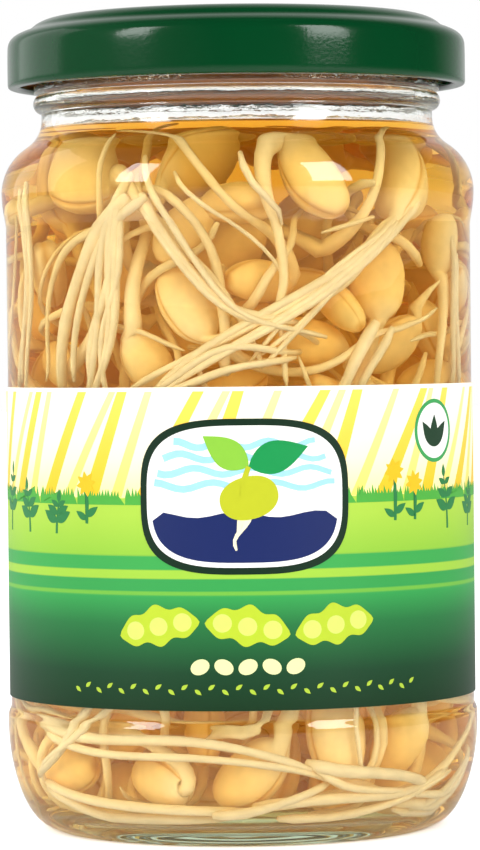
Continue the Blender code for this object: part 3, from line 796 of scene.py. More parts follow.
def turned(name, profile, finishes, sides=180, closed=False, turn=360.0, start=0.0):
    """A turned piece: its profile, outer side downwards, carried round Z by a Screw modifier."""
    mesh = bpy.data.meshes.new(name)
    spin = Matrix.Rotation(math.radians(start), 3, "Z")
    points = [spin @ Vector((x * MM, 0.0, z * MM)) for x, z in profile]
    edges = [(i, i + 1) for i in range(len(points) - 1)]
    if closed:
        edges.append((len(points) - 1, 0))
    mesh.from_pydata(points, edges, [])
    obj = new_piece(name, mesh, *finishes)
    screw = obj.modifiers.new("turn", "SCREW")
    screw.angle = math.radians(turn)
    screw.steps = screw.render_steps = sides
    screw.use_merge_vertices = turn == 360.0
    screw.merge_threshold = 0.000004
    screw.use_smooth_shade = True
    graph = bpy.context.evaluated_depsgraph_get()
    obj.data = bpy.data.meshes.new_from_object(obj.evaluated_get(graph))
    obj.modifiers.clear()
    return obj


def mark_wet(obj, is_wet):
    """Marks the points of a mesh that lie where glass and brine meet."""
    layer = obj.data.attributes.new("wet", "FLOAT", "POINT")
    for vertex, value in zip(obj.data.vertices, layer.data):
        x, y, z = (c / MM for c in vertex.co)
        value.value = float(is_wet(math.hypot(x, y), z))


def ridge_height(bearing, height):
    """How far the lug thread stands out of the neck at a place, by its slope and round section."""
    most = 0.0
    for lug in range(LUGS):
        along = (bearing - LUG_BEARING - lug * 360.0 / LUGS + 180.0) % 360.0 - 180.0
        if not RIDGE_START - 3 < along < RIDGE_END + 3:
            continue
        middle = LUG_HEIGHT + LUG_THICKNESS / 2 + RIDGE_OVER_LUG + LEAD_PER_DEGREE * along
        across = abs(height - middle) / (RIDGE_HALF + 0.15)
        if across >= 1:
            continue
        # the ridge runs in and out over eight degrees
        run_in = min(1.0, (along - RIDGE_START + 3) / 8)
        run_out = min(1.0, (RIDGE_END + 3 - along) / 8)
        share = max(0.0, min(run_in, run_out))
        rise = RIDGE_RADIUS + RIDGE_HALF - 0.05 - FINISH_RADIUS
        most = max(most, rise * (1 - across**2) ** 0.7 * share)
    return most


def clear_jar(glass):
    """The jar in fine steps, with its thread raised out of the neck."""
    shoulder_x = BODY_RADIUS - SHOULDER_ROUND
    throat_x = NECK_RADIUS + THROAT_ROUND
    reach = SHOULDER_ROUND + THROAT_ROUND
    rise = math.sqrt(reach**2 - (throat_x - shoulder_x) ** 2)
    meet = math.degrees(math.acos((throat_x - shoulder_x) / reach))
    inside = cavity_profile(0.0, RIM_HEIGHT - 1.0)
    rim = [(MOUTH_RADIUS + 0.9, RIM_HEIGHT), (FINISH_RADIUS - 0.9, RIM_HEIGHT)]
    wall = [
        (FINISH_RADIUS, z) for z in np.arange(RIM_HEIGHT - 1.0, BEAD_HEIGHT + BEAD_HALF, -0.3)
    ]
    bead = arc((NECK_RADIUS, BEAD_HEIGHT), (BEAD_RADIUS - NECK_RADIUS, BEAD_HALF), 60, -90, 12)
    throat = arc((throat_x, SHOULDER_HEIGHT + rise), (THROAT_ROUND,) * 2, 180, 180 + meet, 10)
    shoulder = arc((shoulder_x, SHOULDER_HEIGHT), (SHOULDER_ROUND,) * 2, meet * 0.9, 0, 10)
    panel = [
        (BODY_RADIUS - 0.12, PANEL_TOP + 3.4),
        (PANEL_RADIUS + 0.08, PANEL_TOP + 0.9),
        (PANEL_RADIUS, PANEL_TOP),
        (PANEL_RADIUS, PANEL_BOTTOM + 0.6),
        (PANEL_RADIUS + 0.03, PANEL_BOTTOM + 0.1),
        (PANEL_RADIUS + 0.33, PANEL_BOTTOM - 0.5),
        (PANEL_RADIUS + 0.48, PANEL_BOTTOM - 1.0),
    ]
    foot = HEEL[-1][0] - FOOT_WIDTH
    base = [(foot, 0.0), (foot - 2.4, PUSH_UP * 0.6), (foot * 0.5, PUSH_UP * 0.95), (0.0, PUSH_UP)]
    outside = rim + wall + bead + throat + shoulder + panel + softened(HEEL, 1) + base
    jar = turned("jar_glass", softened(inside, 1) + softened(outside, 1), [glass])
    for vertex in jar.data.vertices:
        x, y, z = (c / MM for c in vertex.co)
        out = math.hypot(x, y)
        if out > FINISH_RADIUS - 0.3 and BEAD_HEIGHT + BEAD_HALF < z < RIM_HEIGHT:
            raised = ridge_height(math.degrees(math.atan2(y, x)), z)
            vertex.co.x += x / out * raised * MM
            vertex.co.y += y / out * raised * MM
    top = BRINE_LEVEL + MENISCUS * 0.6
    mark_wet(
        jar,
        lambda out, z: FLOOR_HEIGHT - 0.3 < z < top and out < cavity_radius(z, 0.0) + 0.5,
    )
    return keep(jar, "jar", "glass", "glass_jar")


def brine_body(liquid):
    """The brine: it wets the glass all over and climbs it a little at its level."""
    wall = cavity_profile(BRINE_FILM, BRINE_LEVEL)[:-1]
    edge = cavity_radius(BRINE_LEVEL, BRINE_FILM)
    surface = [
        (0.0, BRINE_LEVEL),
        (edge - 3.0, BRINE_LEVEL),
        (edge - 1.6, BRINE_LEVEL + MENISCUS * 0.12),
        (edge - 0.8, BRINE_LEVEL + MENISCUS * 0.36),
        (edge - 0.3, BRINE_LEVEL + MENISCUS * 0.7),
        (edge, BRINE_LEVEL + MENISCUS),
    ]
    full = turned("brine_liquid", surface + wall[::-1], [liquid])
    mark_wet(full, lambda out, z: z < BRINE_LEVEL - 0.2 or (z > BRINE_LEVEL + MENISCUS * 0.8))
    return keep(full, "jar", "brine", "brine")


def inner_side(profile, gauge):
    """The inner side of a sheet: each point moved in, square to the outer side there."""
    moved = []
    for i, (x, z) in enumerate(profile):
        before = profile[max(0, i - 1)]
        after = profile[min(len(profile) - 1, i + 1)]
        along = Vector((after[0] - before[0], after[1] - before[1])).normalized()
        shift = gauge if x else 0.0
        moved.append((x + along.y * shift, z - along.x * gauge))
    return moved


def tin_lid(lacquer, gold):
    """The pressed lid in fine steps, green outside and gold inside, and its turned-in lugs."""
    outside = [
        (0.0, LID_TOP - 1.1),
        (7.0, LID_TOP - 1.15),
        (10.5, LID_TOP - 1.6),
        (24.4, LID_TOP - 1.6),
        (26.2, LID_TOP - 0.2),
        (27.2, LID_TOP),
        (28.3, LID_TOP),
        (29.6, LID_TOP - 0.3),
        (30.8, LID_TOP - 0.9),
        (31.6, LID_TOP - 1.65),
        (33.1, LID_TOP - 2.15),
        (34.2, LID_TOP - 2.75),
        (LID_RADIUS - 0.15, LID_TOP - 3.6),
        (LID_RADIUS, LID_TOP - 4.7),
        (LID_RADIUS, LID_BOTTOM + 1.4),
    ]
    hem = [
        (LID_RADIUS, LID_BOTTOM + 0.6),
        (LID_RADIUS - 0.12, LID_BOTTOM + 0.15),
        (LID_RADIUS - 0.6, LID_BOTTOM),
        (LID_RADIUS - 1.7, LID_BOTTOM),
        (LID_RADIUS - HEM_DEPTH, LID_BOTTOM + 0.7),
        (LID_RADIUS - 1.4, LID_BOTTOM + 1.3),
    ]
    sheet = softened(outside, 2)
    inside = inner_side(sheet, LID_GAUGE)[::-1]
    shell = turned("tin_lid", sheet + softened(hem, 1) + inside, [lacquer, gold], sides=200)
    for face in shell.data.polygons:
        out = math.hypot(face.center.x, face.center.y) / MM
        height = face.center.z / MM
        facing_in = face.normal.x * face.center.x + face.normal.y * face.center.y < 0
        inner = face.normal.z < 0 if height > LID_TOP - 3.5 else facing_in
        if height > LID_BOTTOM + 1.35 and inner and out < LID_RADIUS - 0.2:
            face.material_index = 1
    keep(shell, "lid", "green_lacquer", "lid")
    for lug in range(LUGS):
        angle = math.radians(LUG_BEARING + lug * 360.0 / LUGS)
        shape = bmesh.new()
        bmesh.ops.create_cube(shape, size=1.0)
        depth = LID_RADIUS - 1.2 - LUG_TIP_RADIUS
        for vertex in shape.verts:
            tip = vertex.co.x < 0
            vertex.co.x = (LUG_TIP_RADIUS + (vertex.co.x + 0.5) * depth) * MM
            vertex.co.y *= (LUG_WIDTH - (1.4 if tip else 0.0)) * MM
            vertex.co.z = (LUG_HEIGHT + vertex.co.z * LUG_THICKNESS) * MM
        bmesh.ops.bevel(
            shape, geom=shape.edges[:], offset=0.0003, segments=3, profile=0.5, affect="EDGES"
        )
        shape.transform(Matrix.Rotation(angle, 4, "Z"))
        mesh = bpy.data.meshes.new("lug")
        shape.to_mesh(mesh)
        shape.free()
        mesh.shade_smooth()
        keep(new_piece(f"lid_lug_{lug + 1}", mesh, lacquer), "lid", "green_lacquer")
    return shell


def paper_label(paper):
    """The label: one strip of paper round the panel, its ends apart at the back."""
    ring = [
        (LABEL_OUTER, LABEL_TOP),
        (LABEL_OUTER, LABEL_BOTTOM),
        (LABEL_INNER, LABEL_BOTTOM),
        (LABEL_INNER, LABEL_TOP),
    ]
    strip = turned(
        "label_strip",
        ring,
        [paper],
        sides=220,
        closed=True,
        turn=2 * LABEL_HALF_TURN,
        start=-90.0 - LABEL_HALF_TURN,
    )
    shape = bmesh.new()
    shape.from_mesh(strip.data)
    bmesh.ops.holes_fill(shape, edges=shape.edges[:])
    bmesh.ops.recalc_face_normals(shape, faces=shape.faces[:])
    shape.to_mesh(strip.data)
    shape.free()
    strip.data.set_sharp_from_angle(angle=math.radians(40))
    return keep(strip, "jar", "label_paper", "label")


def printed(name, outlines, colour, layer):
    """A thin layer of ink: flat outlines, in millimetres round the jar and up, wrapped on it."""
    shape = bmesh.new()
    for outline in outlines:
        shape.faces.new([shape.verts.new((u, 0.0, v)) for u, v in outline])
    bmesh.ops.triangulate(shape, faces=shape.faces[:])
    low = min(v.co.x for v in shape.verts)
    high = max(v.co.x for v in shape.verts)
    for cut in np.arange(math.ceil(low / CELL) * CELL, high, CELL):
        bmesh.ops.bisect_plane(
            shape,
            geom=[*shape.verts, *shape.edges, *shape.faces],
            dist=1e-5,
            plane_co=(cut, 0.0, 0.0),
            plane_no=(1.0, 0.0, 0.0),
        )
    raised = bmesh.ops.extrude_face_region(shape, geom=shape.faces[:])
    top = {v for v in raised["geom"] if isinstance(v, bmesh.types.BMVert)}
    for vertex in shape.verts:
        radius = LABEL_OUTER + (INK * layer if vertex in top else -0.03)
        angle = vertex.co.x / LABEL_OUTER
        vertex.co = Vector(
            (radius * math.sin(angle), -radius * math.cos(angle), vertex.co.z)
        ) * MM
    bmesh.ops.recalc_face_normals(shape, faces=shape.faces[:])
    mesh = bpy.data.meshes.new(name)
    shape.to_mesh(mesh)
    shape.free()
    return keep(new_piece(name, mesh, colour), "jar", "label_paper")


def placed(points, u, v, tilt):
    """Points drawn about nought, turned by a tilt and moved to their place on the label."""
    turn = math.radians(tilt)
    return [
        (u + x * math.cos(turn) - y * math.sin(turn), v + x * math.sin(turn) + y * math.cos(turn))
        for x, y in points
    ]


def oval(u, v, across, up, power=2.0, steps=48, tilt=0.0):
    """An oval, or with a higher power a cushion shape, about a point."""
    points = []
    for i in range(steps):
        angle = 2 * math.pi * i / steps
        x = math.copysign(abs(math.cos(angle)) ** (2 / power), math.cos(angle)) * across
        y = math.copysign(abs(math.sin(angle)) ** (2 / power), math.sin(angle)) * up
        points.append((x, y))
    return placed(points, u, v, tilt)


def leaf(u, v, length, width, tilt, steps=14):
    """A pointed leaf that grows from a point at a tilt, fuller near its foot."""
    shares = [i / steps for i in range(steps + 1)]
    edge = [(s * length, width / 2 * math.sin(math.pi * s**0.8)) for s in shares]
    return placed(edge + [(x, -y * 0.9) for x, y in edge[-2:0:-1]], u, v, tilt)


def stem(points, thick, thin):
    """A drawn line that tapers, as an outline round its middle points."""
    left, right = [], []
    for i, (u, v) in enumerate(points):
        before = points[max(0, i - 1)]
        after = points[min(len(points) - 1, i + 1)]
        along = Vector((after[0] - before[0], after[1] - before[1])).normalized()
        half = (thick + (thin - thick) * i / (len(points) - 1)) / 2
        left.append((u - along.y * half, v + along.x * half))
        right.append((u + along.y * half, v - along.x * half))
    return left + right[::-1]


def pod(u, v, tilt, length=12.6, width=6.2, beans=3, steps=42):
    """A bean pod seen from its side, swollen over each bean and drawn out at both ends."""
    edge = []
    for i in range(steps + 1):
        share = i / steps
        envelope = math.sin(math.pi * share) ** 0.55
        swell = 0.86 + 0.14 * math.cos(2 * math.pi * beans * (share - 0.5))
        edge.append(((share - 0.5) * length, width / 2 * envelope * swell))
    outline = edge + [(x, -y) for x, y in edge[-2:0:-1]]
    return placed([(x, y + 0.5 * (1 - (2 * x / length) ** 2)) for x, y in outline], u, v, tilt)


def seedling(u, v, tall, lean):
    """A young plant: a bowed stem with pairs of leaves, larger towards its foot."""
    line = [(u + lean * (i / 8) ** 2, v + tall * i / 8) for i in range(9)]
    shapes = [stem(line, 0.5, 0.25)]
    for i, size in ((3, 1.0), (5, 0.8), (7, 0.55)):
        x, y = line[i]
        shapes.append(leaf(x, y, 3.4 * size, 1.7 * size, 28 - lean * 2))
        shapes.append(leaf(x, y, 3.4 * size, 1.7 * size, 152 - lean * 2))
    x, y = line[-1]
    shapes.append(leaf(x, y, 2.0, 1.0, 90 - lean * 4))
    return shapes


def grass(low_u, high_u, foot, draw):
    """A run of grass along the top of the field, its blades of uneven height."""
    points = [(low_u, foot - 1.2)]
    u = low_u
    while u < high_u - 1.0:
        wide = draw.uniform(0.35, 0.7)
        tall = draw.uniform(0.5, 1.5)
        points += [(u + 0.02, foot), (u + wide / 2 + draw.uniform(-0.25, 0.25), foot + tall)]
        u += wide
    points += [(u, foot), (high_u, foot - 1.2)]
    return points


def label_print():
    """The label's drawing: a sunny field, a seed that sprouts in a cushion, and a row of pods."""
    draw = np.random.default_rng(7)
    reach = math.radians(LABEL_HALF_TURN) * LABEL_OUTER - 0.6
    end = reach - 9.0
    rays = []
    for i in range(RAYS):
        u = -reach + 1.4 + (i + 0.5) * (reach + end) / RAYS
        wide = 1.35 if i % 2 else 0.95
        slant = 7.0 + 2.0 * math.sin(i * 1.7)
        top = [(u + slant - wide * 0.62, 66.9), (u + slant + wide * 0.62, 66.9)]
        rays.append([(u - wide, RAY_FOOT), *top, (u + wide, RAY_FOOT)])
    edges = np.linspace(-reach, reach, 25)
    field = [grass(a, b - 0.05, 51.6, draw) for a, b in zip(edges, edges[1:])]
    plants = []
    for u, foot, tall, lean in SEEDLINGS:
        plants += seedling(u, foot, tall, lean)

    middle, level = heart = (0.6, 51.6)
    sky = []
    for step, half in ((1.6, 13.4), (3.7, 12.9), (5.8, 12.0), (7.6, 10.4)):
        heights = [level + step + 0.5 * math.sin(i * 0.8 + step) for i in range(25)]
        line = [(middle + half * (i / 12 - 1), v) for i, v in enumerate(heights)]
        sky.append(stem(line, 1.1, 0.8))
    soil = [p for p in oval(*heart, 13.9, 9.6, 3.2, 96) if p[1] < level - 2.9]
    soil.sort(key=lambda p: math.atan2(p[1] - level, p[0] - middle) % (2 * math.pi))
    west, east = soil[-1][0], soil[0][0]
    crest = [
        (west + (east - west) * i / 16, level - 2.6 + 0.45 * math.sin(i * 0.9))
        for i in range(1, 16)
    ]
    rootlet = [
        (middle - 0.5 + 1.1 * math.sin(i * 0.55), level - 0.6 - i * 0.72) for i in range(11)
    ]
    shoot = [(middle - 0.4 + 0.02 * i * i, level + i * 0.62) for i in range(8)]
    seed = [oval(middle + 0.6, level - 0.2, 4.3, 3.1, 2.2, 48, 14), stem(shoot, 0.9, 0.7)]

    badge = (33.4, 60.6)
    sprig = [leaf(badge[0], badge[1] - 2.4, 4.8, 2.1, 90 + turn) for turn in (-38, 0, 38)]
    flowers, petals = [], []
    for u, tall in ((24.5, 7.2), (28.6, 5.4), (-24.5, 5.8)):
        stalk = [(u, 47.6), (u + 0.2, 47.6 + tall * 0.5), (u - 0.1, 47.6 + tall)]
        flowers.append(stem(stalk, 0.5, 0.4))
        flowers += [leaf(u, 48.6, 2.6, 1.2, 35), leaf(u, 48.2, 2.4, 1.1, 150)]
        petals += [leaf(u - 0.1, 47.6 + tall, 1.9, 0.95, k * 45 + 10, 8) for k in range(8)]
    pods, beans = [], []
    for i, tilt in enumerate((10, -8, 9)):
        u = -12.4 + i * 13.2
        pods.append(pod(u, 32.4, tilt))
        centres = placed([(-3.7, 0), (0, 0), (3.7, 0)], u, 32.75, tilt)
        beans += [oval(*centre, 1.4, 1.35, 2, 20) for centre in centres]
    row = [oval(-6.2 + i * 3.5, 26.9, 1.45, 1.1, 2, 20, 24 - 48 * (i % 2)) for i in range(5)]
    foot = [leaf(-27.0 + i * 2.0, 23.6, 1.25, 0.62, 38 if i % 2 else -38, 8) for i in range(28)]

    for name, tone, layer, outlines, *colours in (
        ("gold", "gold", 1, rays[1::2], "#F5BE1E", "#F9D75C"),
        ("pale_gold", "pale_gold", 1, rays[::2], "#FADA68", "#FCE9A0"),
        ("meadow", "meadow", 2, field, "#4DA83F"),
        ("plants", "plants", 3, plants, "#2E7D45"),
        ("cushion_rim", "pine", 4, [oval(*heart, 15.6, 11.3, 3.2, 96)], "#0B2B18"),
        ("cushion", "white", 5, [oval(*heart, 14.6, 10.3, 3.2, 96)], "#FAFAF6"),
        ("sky", "sky", 6, sky, "#9FD3EA"),
        ("soil", "navy", 6, [soil + crest], "#15255E"),
        ("rootlet", "cream", 7, [stem(rootlet, 1.3, 0.3)], "#F3EDC8"),
        ("leaf_dark", "leaf_dark", 8, [leaf(*shoot[-1], 9.2, 5.0, 18)], "#12904A"),
        ("leaf_light", "leaf_light", 9, [leaf(*shoot[-1], 8.0, 4.6, 146)], "#86C03C"),
        ("seed", "olive", 10, seed, "#B8BE22"),
        ("badge_rim", "badge", 4, [oval(*badge, 4.7, 4.7)], "#3E9E57"),
        ("badge", "badge_white", 5, [oval(*badge, 4.1, 4.1)], "#F7F8F2"),
        ("badge_sprig", "badge_sprig", 6, sprig, "#22402B"),
        ("flowers", "flower_stem", 3, flowers, "#2E7D45"),
        ("petals_1", "petal_1", 4, petals[::2], "#EDBB1F"),
        ("petals_2", "petal_2", 5, petals[1::2], "#EDBB1F"),
        ("pods", "pod", 2, pods, "#B5CC2E"),
        ("pod_beans", "pod_light", 3, beans, "#D3DF6B"),
        ("seed_row", "seed_row", 2, row, "#E2E9A8"),
        ("foot_row", "foot_row", 2, foot, "#A9C63A"),
    ):
        printed(f"print_{name}", outlines, ink(f"ink_{tone}", *colours), layer)


def smooth_line(points, spacing):
    """An even, rounded line through points: a cubic B-spline that starts and ends on them."""
    knots = np.vstack([2 * points[0] - points[1], points, 2 * points[-1] - points[-2]])
    made = []
    for a, b, c, d in zip(knots, knots[1:], knots[2:], knots[3:]):
        for t in np.arange(0.0, 1.0, 0.25):
            near = b * (3 * t**3 - 6 * t**2 + 4)
            far = c * (-3 * t**3 + 3 * t**2 + 3 * t + 1)
            made.append((a * (1 - t) ** 3 + near + far + d * t**3) / 6)
    made = np.array([*made, points[-1]])
    run = np.concatenate([[0.0], np.cumsum(np.linalg.norm(np.diff(made, axis=0), axis=1))])
    count = max(6, int(run[-1] / spacing))
    at = np.linspace(0.0, run[-1], count)
    return np.stack([np.interp(at, run, made[:, k]) for k in range(3)], axis=1)


def ring_angles(fine):
    """Angles round a sprout's ring, closest together at the seam between a seed's halves."""
    quarter = (0.0, 2.4, 5.5, 11.0, 21.0, 36.0, 54.0, 72.0) if fine else (0.0, 7.0, 24.0, 55.0)
    turns = {a % 360 for q in (*quarter, 90.0) for a in (q, 180 - q, 180 + q, 360 - q)}
    return np.radians(sorted(turns))


def skin_faces(ring_count, sides):
    """Faces of a closed skin whose points are its tip, its rings and its end, in that order."""
    last = 1 + ring_count * sides
    faces = [(0, 1 + (k + 1) % sides, 1 + k) for k in range(sides)]
    for base in range(1, last - sides, sides):
        for k in range(sides):
            n = (k + 1) % sides
            faces.append((base + k, base + n, base + sides + n, base + sides + k))
    base = last - sides
    return faces + [(base + k, base + (k + 1) % sides, last) for k in range(sides)]


def flesh_tint(name):
    """A colour by its hex name, ready for sums over many points."""
    return np.array(linear(name)[:3])


def skin(size, balls, fine, draw, stout=BARE_ROOT):
    """One sprout's surface: rings along the seed and on down its root, in one closed skin.

    Gives its points, faces and tints. The seed's two halves meet in a seam, and on some they
    part at the tip. A root that has lost its seed has size nought and a stout radius.
    """
    angles = ring_angles(fine)
    sides = len(angles)
    along = balls[2] - balls[0]
    along = along / np.linalg.norm(along)
    middle = balls[:3].mean(axis=0)
    bend = balls[min(8, len(balls) - 1)] - middle
    across = bend - along * bend.dot(along)
    across = across / np.linalg.norm(across)
    part = draw.uniform(0.0, 1.0)  # three in ten gape, and three in ten have a deep groove
    gape = draw.uniform(0.5, 1.5) if part < 0.3 else 0.0
    groove = draw.uniform(0.05, 0.1) if part < 0.7 else draw.uniform(0.1, 0.16)
    flat = draw.uniform(0.9, 1.04)
    pale = draw.uniform(0.0, 1.0)
    seed_tint = flesh_tint(SEED_YELLOW) * (1 - pale) + flesh_tint(SEED_CREAM) * pale
    root_tint = flesh_tint(ROOT_CREAM) * draw.uniform(0.9, 1.0)
    seam_shade_tint = flesh_tint(SEAM_SHADE_OCHRE)
    centres, spans, tints = [], [], []
    away = np.minimum(np.abs((np.degrees(angles) + 90) % 180 - 90), 90.0)
    swells = np.linspace(0.12, 0.93, 20 if fine else 9) * math.pi if size else ()
    half = BEAN_LENGTH / 2 * size * 0.97
    slim = draw.uniform(0.68, 0.94) if fine else draw.uniform(0.58, 0.84)
    for swell in swells:
        lift = math.sin(swell) ** 0.92
        width = BEAN_WIDTH / 2 * size * lift * SEED_DRAWN_IN
        thick = BEAN_THICKNESS / 2 * size * lift * flat * SEED_DRAWN_IN
        # the seed's lower end widens into the root
        neck = max(0.0, -math.cos(swell)) ** 3 * ROOT_THICK * 1.08 * slim
        width = (width**4 + neck**4) ** 0.25
        thick = (thick**4 + neck**4) ** 0.25
        open_share = max(0.0, math.cos(swell)) * gape
        # the groove is five degrees wide, and wider where the halves part
        cut = np.exp(-((away / (5.0 + 9.0 * open_share)) ** 2))
        reach = 1.0 - (groove * lift + 0.22 * open_share) * cut
        x = np.cos(angles) * width * reach
        y = np.sin(angles) * thick * reach
        y = y + np.sign(np.sin(angles)) * open_share * 0.55 * (1 - cut)
        centres.append(middle - along * half * math.cos(swell))
        spans.append((x, y))
        # painted shade: the seam's groove, and the seed's tip, are tinted darker ochre
        share = np.clip(cut * 0.75, 0, 1)[:, None]
        toward_root = max(0.0, -math.cos(swell) - 0.55) / 0.45
        base = seed_tint * (1 - toward_root) + root_tint * toward_root
        tints.append(base * (1 - share) + seam_shade_tint * share)
    line = np.vstack([middle + along * half * 0.5, balls[3:]]) if size else balls
    line = smooth_line(line, 1.05 if fine else 2.0)
    gaps = (line - (centres[-1] if size else balls[0])) @ along
    run = line[int(np.argmax(gaps > 0.35)) :]
    count = len(run)
    for i, centre in enumerate(run):
        share = i / max(1, count - 1)
        if size:
            radius = root_radius(share) * slim * (1 - 0.2 * min(1.0, share / 0.35))
            radius = max(radius, ROOT_LEAST)
        else:
            radius = stout * (1.12 - 0.32 * share) * (0.65 if i in (0, count - 1) else 1.0)
        radius *= 0.96 + 0.14 * noise.noise(Vector(centre * ROOT_HUMPS))
        if size and share > 0.94:  # a blunt tip
            radius *= max(0.25, math.sqrt(max(0.0, 1 - ((share - 0.94) / 0.065) ** 2)))
        centres.append(centre)
        spans.append((np.cos(angles) * radius, np.sin(angles) * radius))
        tints.append(np.tile(root_tint * (1 - 0.1 * share), (sides, 1)))
    steps = np.gradient(np.array(centres), axis=0)
    steps /= np.linalg.norm(steps, axis=1)[:, None]
    steps[: len(swells)] = along
    side = across
    rings = []
    for centre, step, (x, y) in zip(centres, steps, spans):
        side = side - step * side.dot(step)
        side = side / np.linalg.norm(side)
        up = np.cross(step, side)
        rings.append(centre + x[:, None] * side + y[:, None] * up)
    tip = middle - along * half * 0.985 if size else centres[0] - along * 0.3
    points = np.vstack([[tip], *rings, [centres[-1] + steps[-1] * 0.2]])
    for i, point in enumerate(points[: 1 + len(swells) * sides]):
        outward = point - middle
        bump = noise.noise(Vector(point * SEED_DENTS)) * 0.16
        points[i] = point + outward / (np.linalg.norm(outward) + 1e-9) * bump
    tints = np.vstack([[seam_shade_tint], *tints, [root_tint]])
    return points, skin_faces(len(rings), sides), tints


def grown(name, skins, flesh, nodes=()):
    """One piece made of one or more sprouts' skins, their tints painted darker and given a painted
    amber glow where the brine is deep or high.
    """
    faces, start = [], 0
    for points, polygons, _ in skins:
        faces += [tuple(i + start for i in face) for face in polygons]
        start += len(points)
    places = np.vstack([points for points, _, _ in skins])
    tints = np.vstack([colours for _, _, colours in skins])
    mesh = bpy.data.meshes.new(name)
    mesh.from_pydata(places * MM, [], faces)
    # share of painted shade and glow: more further in and higher up, standing in for light
    # scattered by the cloudy brine
    painted_haze = np.clip((CLEAR_TO - np.hypot(places[:, 0], places[:, 1])) / PAINTED_HAZE_DEPTH, 0, 1)
    high = np.clip((places[:, 2] - PAINTED_HAZE_FROM) / PAINTED_HAZE_RISE, 0, 1)
    painted_haze = np.clip(painted_haze * (0.7 + 0.6 * high) + PAINTED_HAZE_MORE * high, 0, 1)[:, None]
    painted_glow = tints * flesh_tint(AMBER_LIGHT) * PAINTED_FLESH_GLOW * (1 - painted_haze)
    # painted shade darkens the tints; a painted glow lights the flesh near the glass and the hazed
    # sprouts in amber
    for label, colour in (
        ("tint", tints * (0.9 - 0.5 * painted_haze)),
        ("glow", painted_glow + flesh_tint(PAINTED_HAZE_AMBER) * PAINTED_HAZE_GLOW * painted_haze),
    ):
        layer = mesh.color_attributes.new(label, "FLOAT_COLOR", "POINT")
        shown = np.ones((start, 4), np.float32)
        shown[:, :3] = colour
        layer.data.foreach_set("color", shown.ravel())
    mesh.shade_smooth()
    return keep(new_piece(name, mesh, flesh), "jar", "yellow_sprout", *nodes)


def core_start(draw, drifted):
    """A sprout for the middle of the jar: a seed at a free place and a root that wanders.

    Some are roots that have lost their seed, and some seeds have only a stub of root left.
    """
    height = draw.uniform(*(DRIFTED_HEIGHTS if drifted else CORE_HEIGHTS))
    bare = not drifted and draw.uniform(0.0, 1.0) < BARE_SHARE
    short = drifted or draw.uniform(0.0, 1.0) < STUB_SHARE
    stub = int(draw.integers(2, 6)) if short and not bare else 0
    most = cavity_radius(height, SPROUT_INSET) - (1.5 if bare else BEAN_WIDTH / 2)
    if drifted:
        most = min(most, DRIFTED_OUT)
    out = most * math.sqrt(draw.uniform(0.02, 1.0))
    turn = draw.uniform(0.0, 2 * math.pi)
    middle = np.array([out * math.cos(turn), out * math.sin(turn), height])
    aim = draw.normal(0.0, 1.0, 3)
    aim /= np.linalg.norm(aim)
    size = 0.0 if bare else draw.uniform(0.78, 1.05)
    inner = max(BEAN_LENGTH * size / 6, 0.6)
    balls = [middle - aim * inner, middle, middle + aim * inner]
    place = middle + aim * inner * 3
    curl = draw.normal(0.0, 1.0, 3)
    for _ in range(ROOT_STATIONS):
        balls.append(place)
        curl = curl * 0.9 + draw.normal(0.0, 0.3, 3)
        aim = aim + curl * 0.1
        out = math.hypot(place[0], place[1])
        if out > TURN_OUT:
            aim[:2] -= place[:2] / out * (out - TURN_OUT) * 0.12
        if not TURN_LOW <= place[2] <= TURN_HIGH:
            aim[2] += 0.25 if place[2] < TURN_LOW else -0.25
        aim /= np.linalg.norm(aim)
        place = place + aim * STATION
    radii = reach_of(size)
    if stub:
        radii[3 + stub :] = 0.2
    return size, np.array(balls), radii, stub


def back_fans(draw):
    """Fans of single roots for the sides and back, like those at the front."""
    fans = []
    for i in range(BACK_FANS):
        bearing = 85.0 + 190.0 * ((i * GOLDEN) % 1.0)
        height = 9.0 + 86.0 * (i + 0.5) / BACK_FANS
        side, rise = draw.choice([-1, 1]) * draw.uniform(12.0, 24.0), draw.uniform(-9.0, 9.0)
        stations = [
            (bearing + side * k, min(99.0, max(6.0, height + rise * k + draw.uniform(-2, 2))))
            for k in range(3)
        ]
        fans.append((int(draw.integers(2, 5)), draw.uniform(0.4, 0.7), 0.8, 3.0, stations))
    return fans


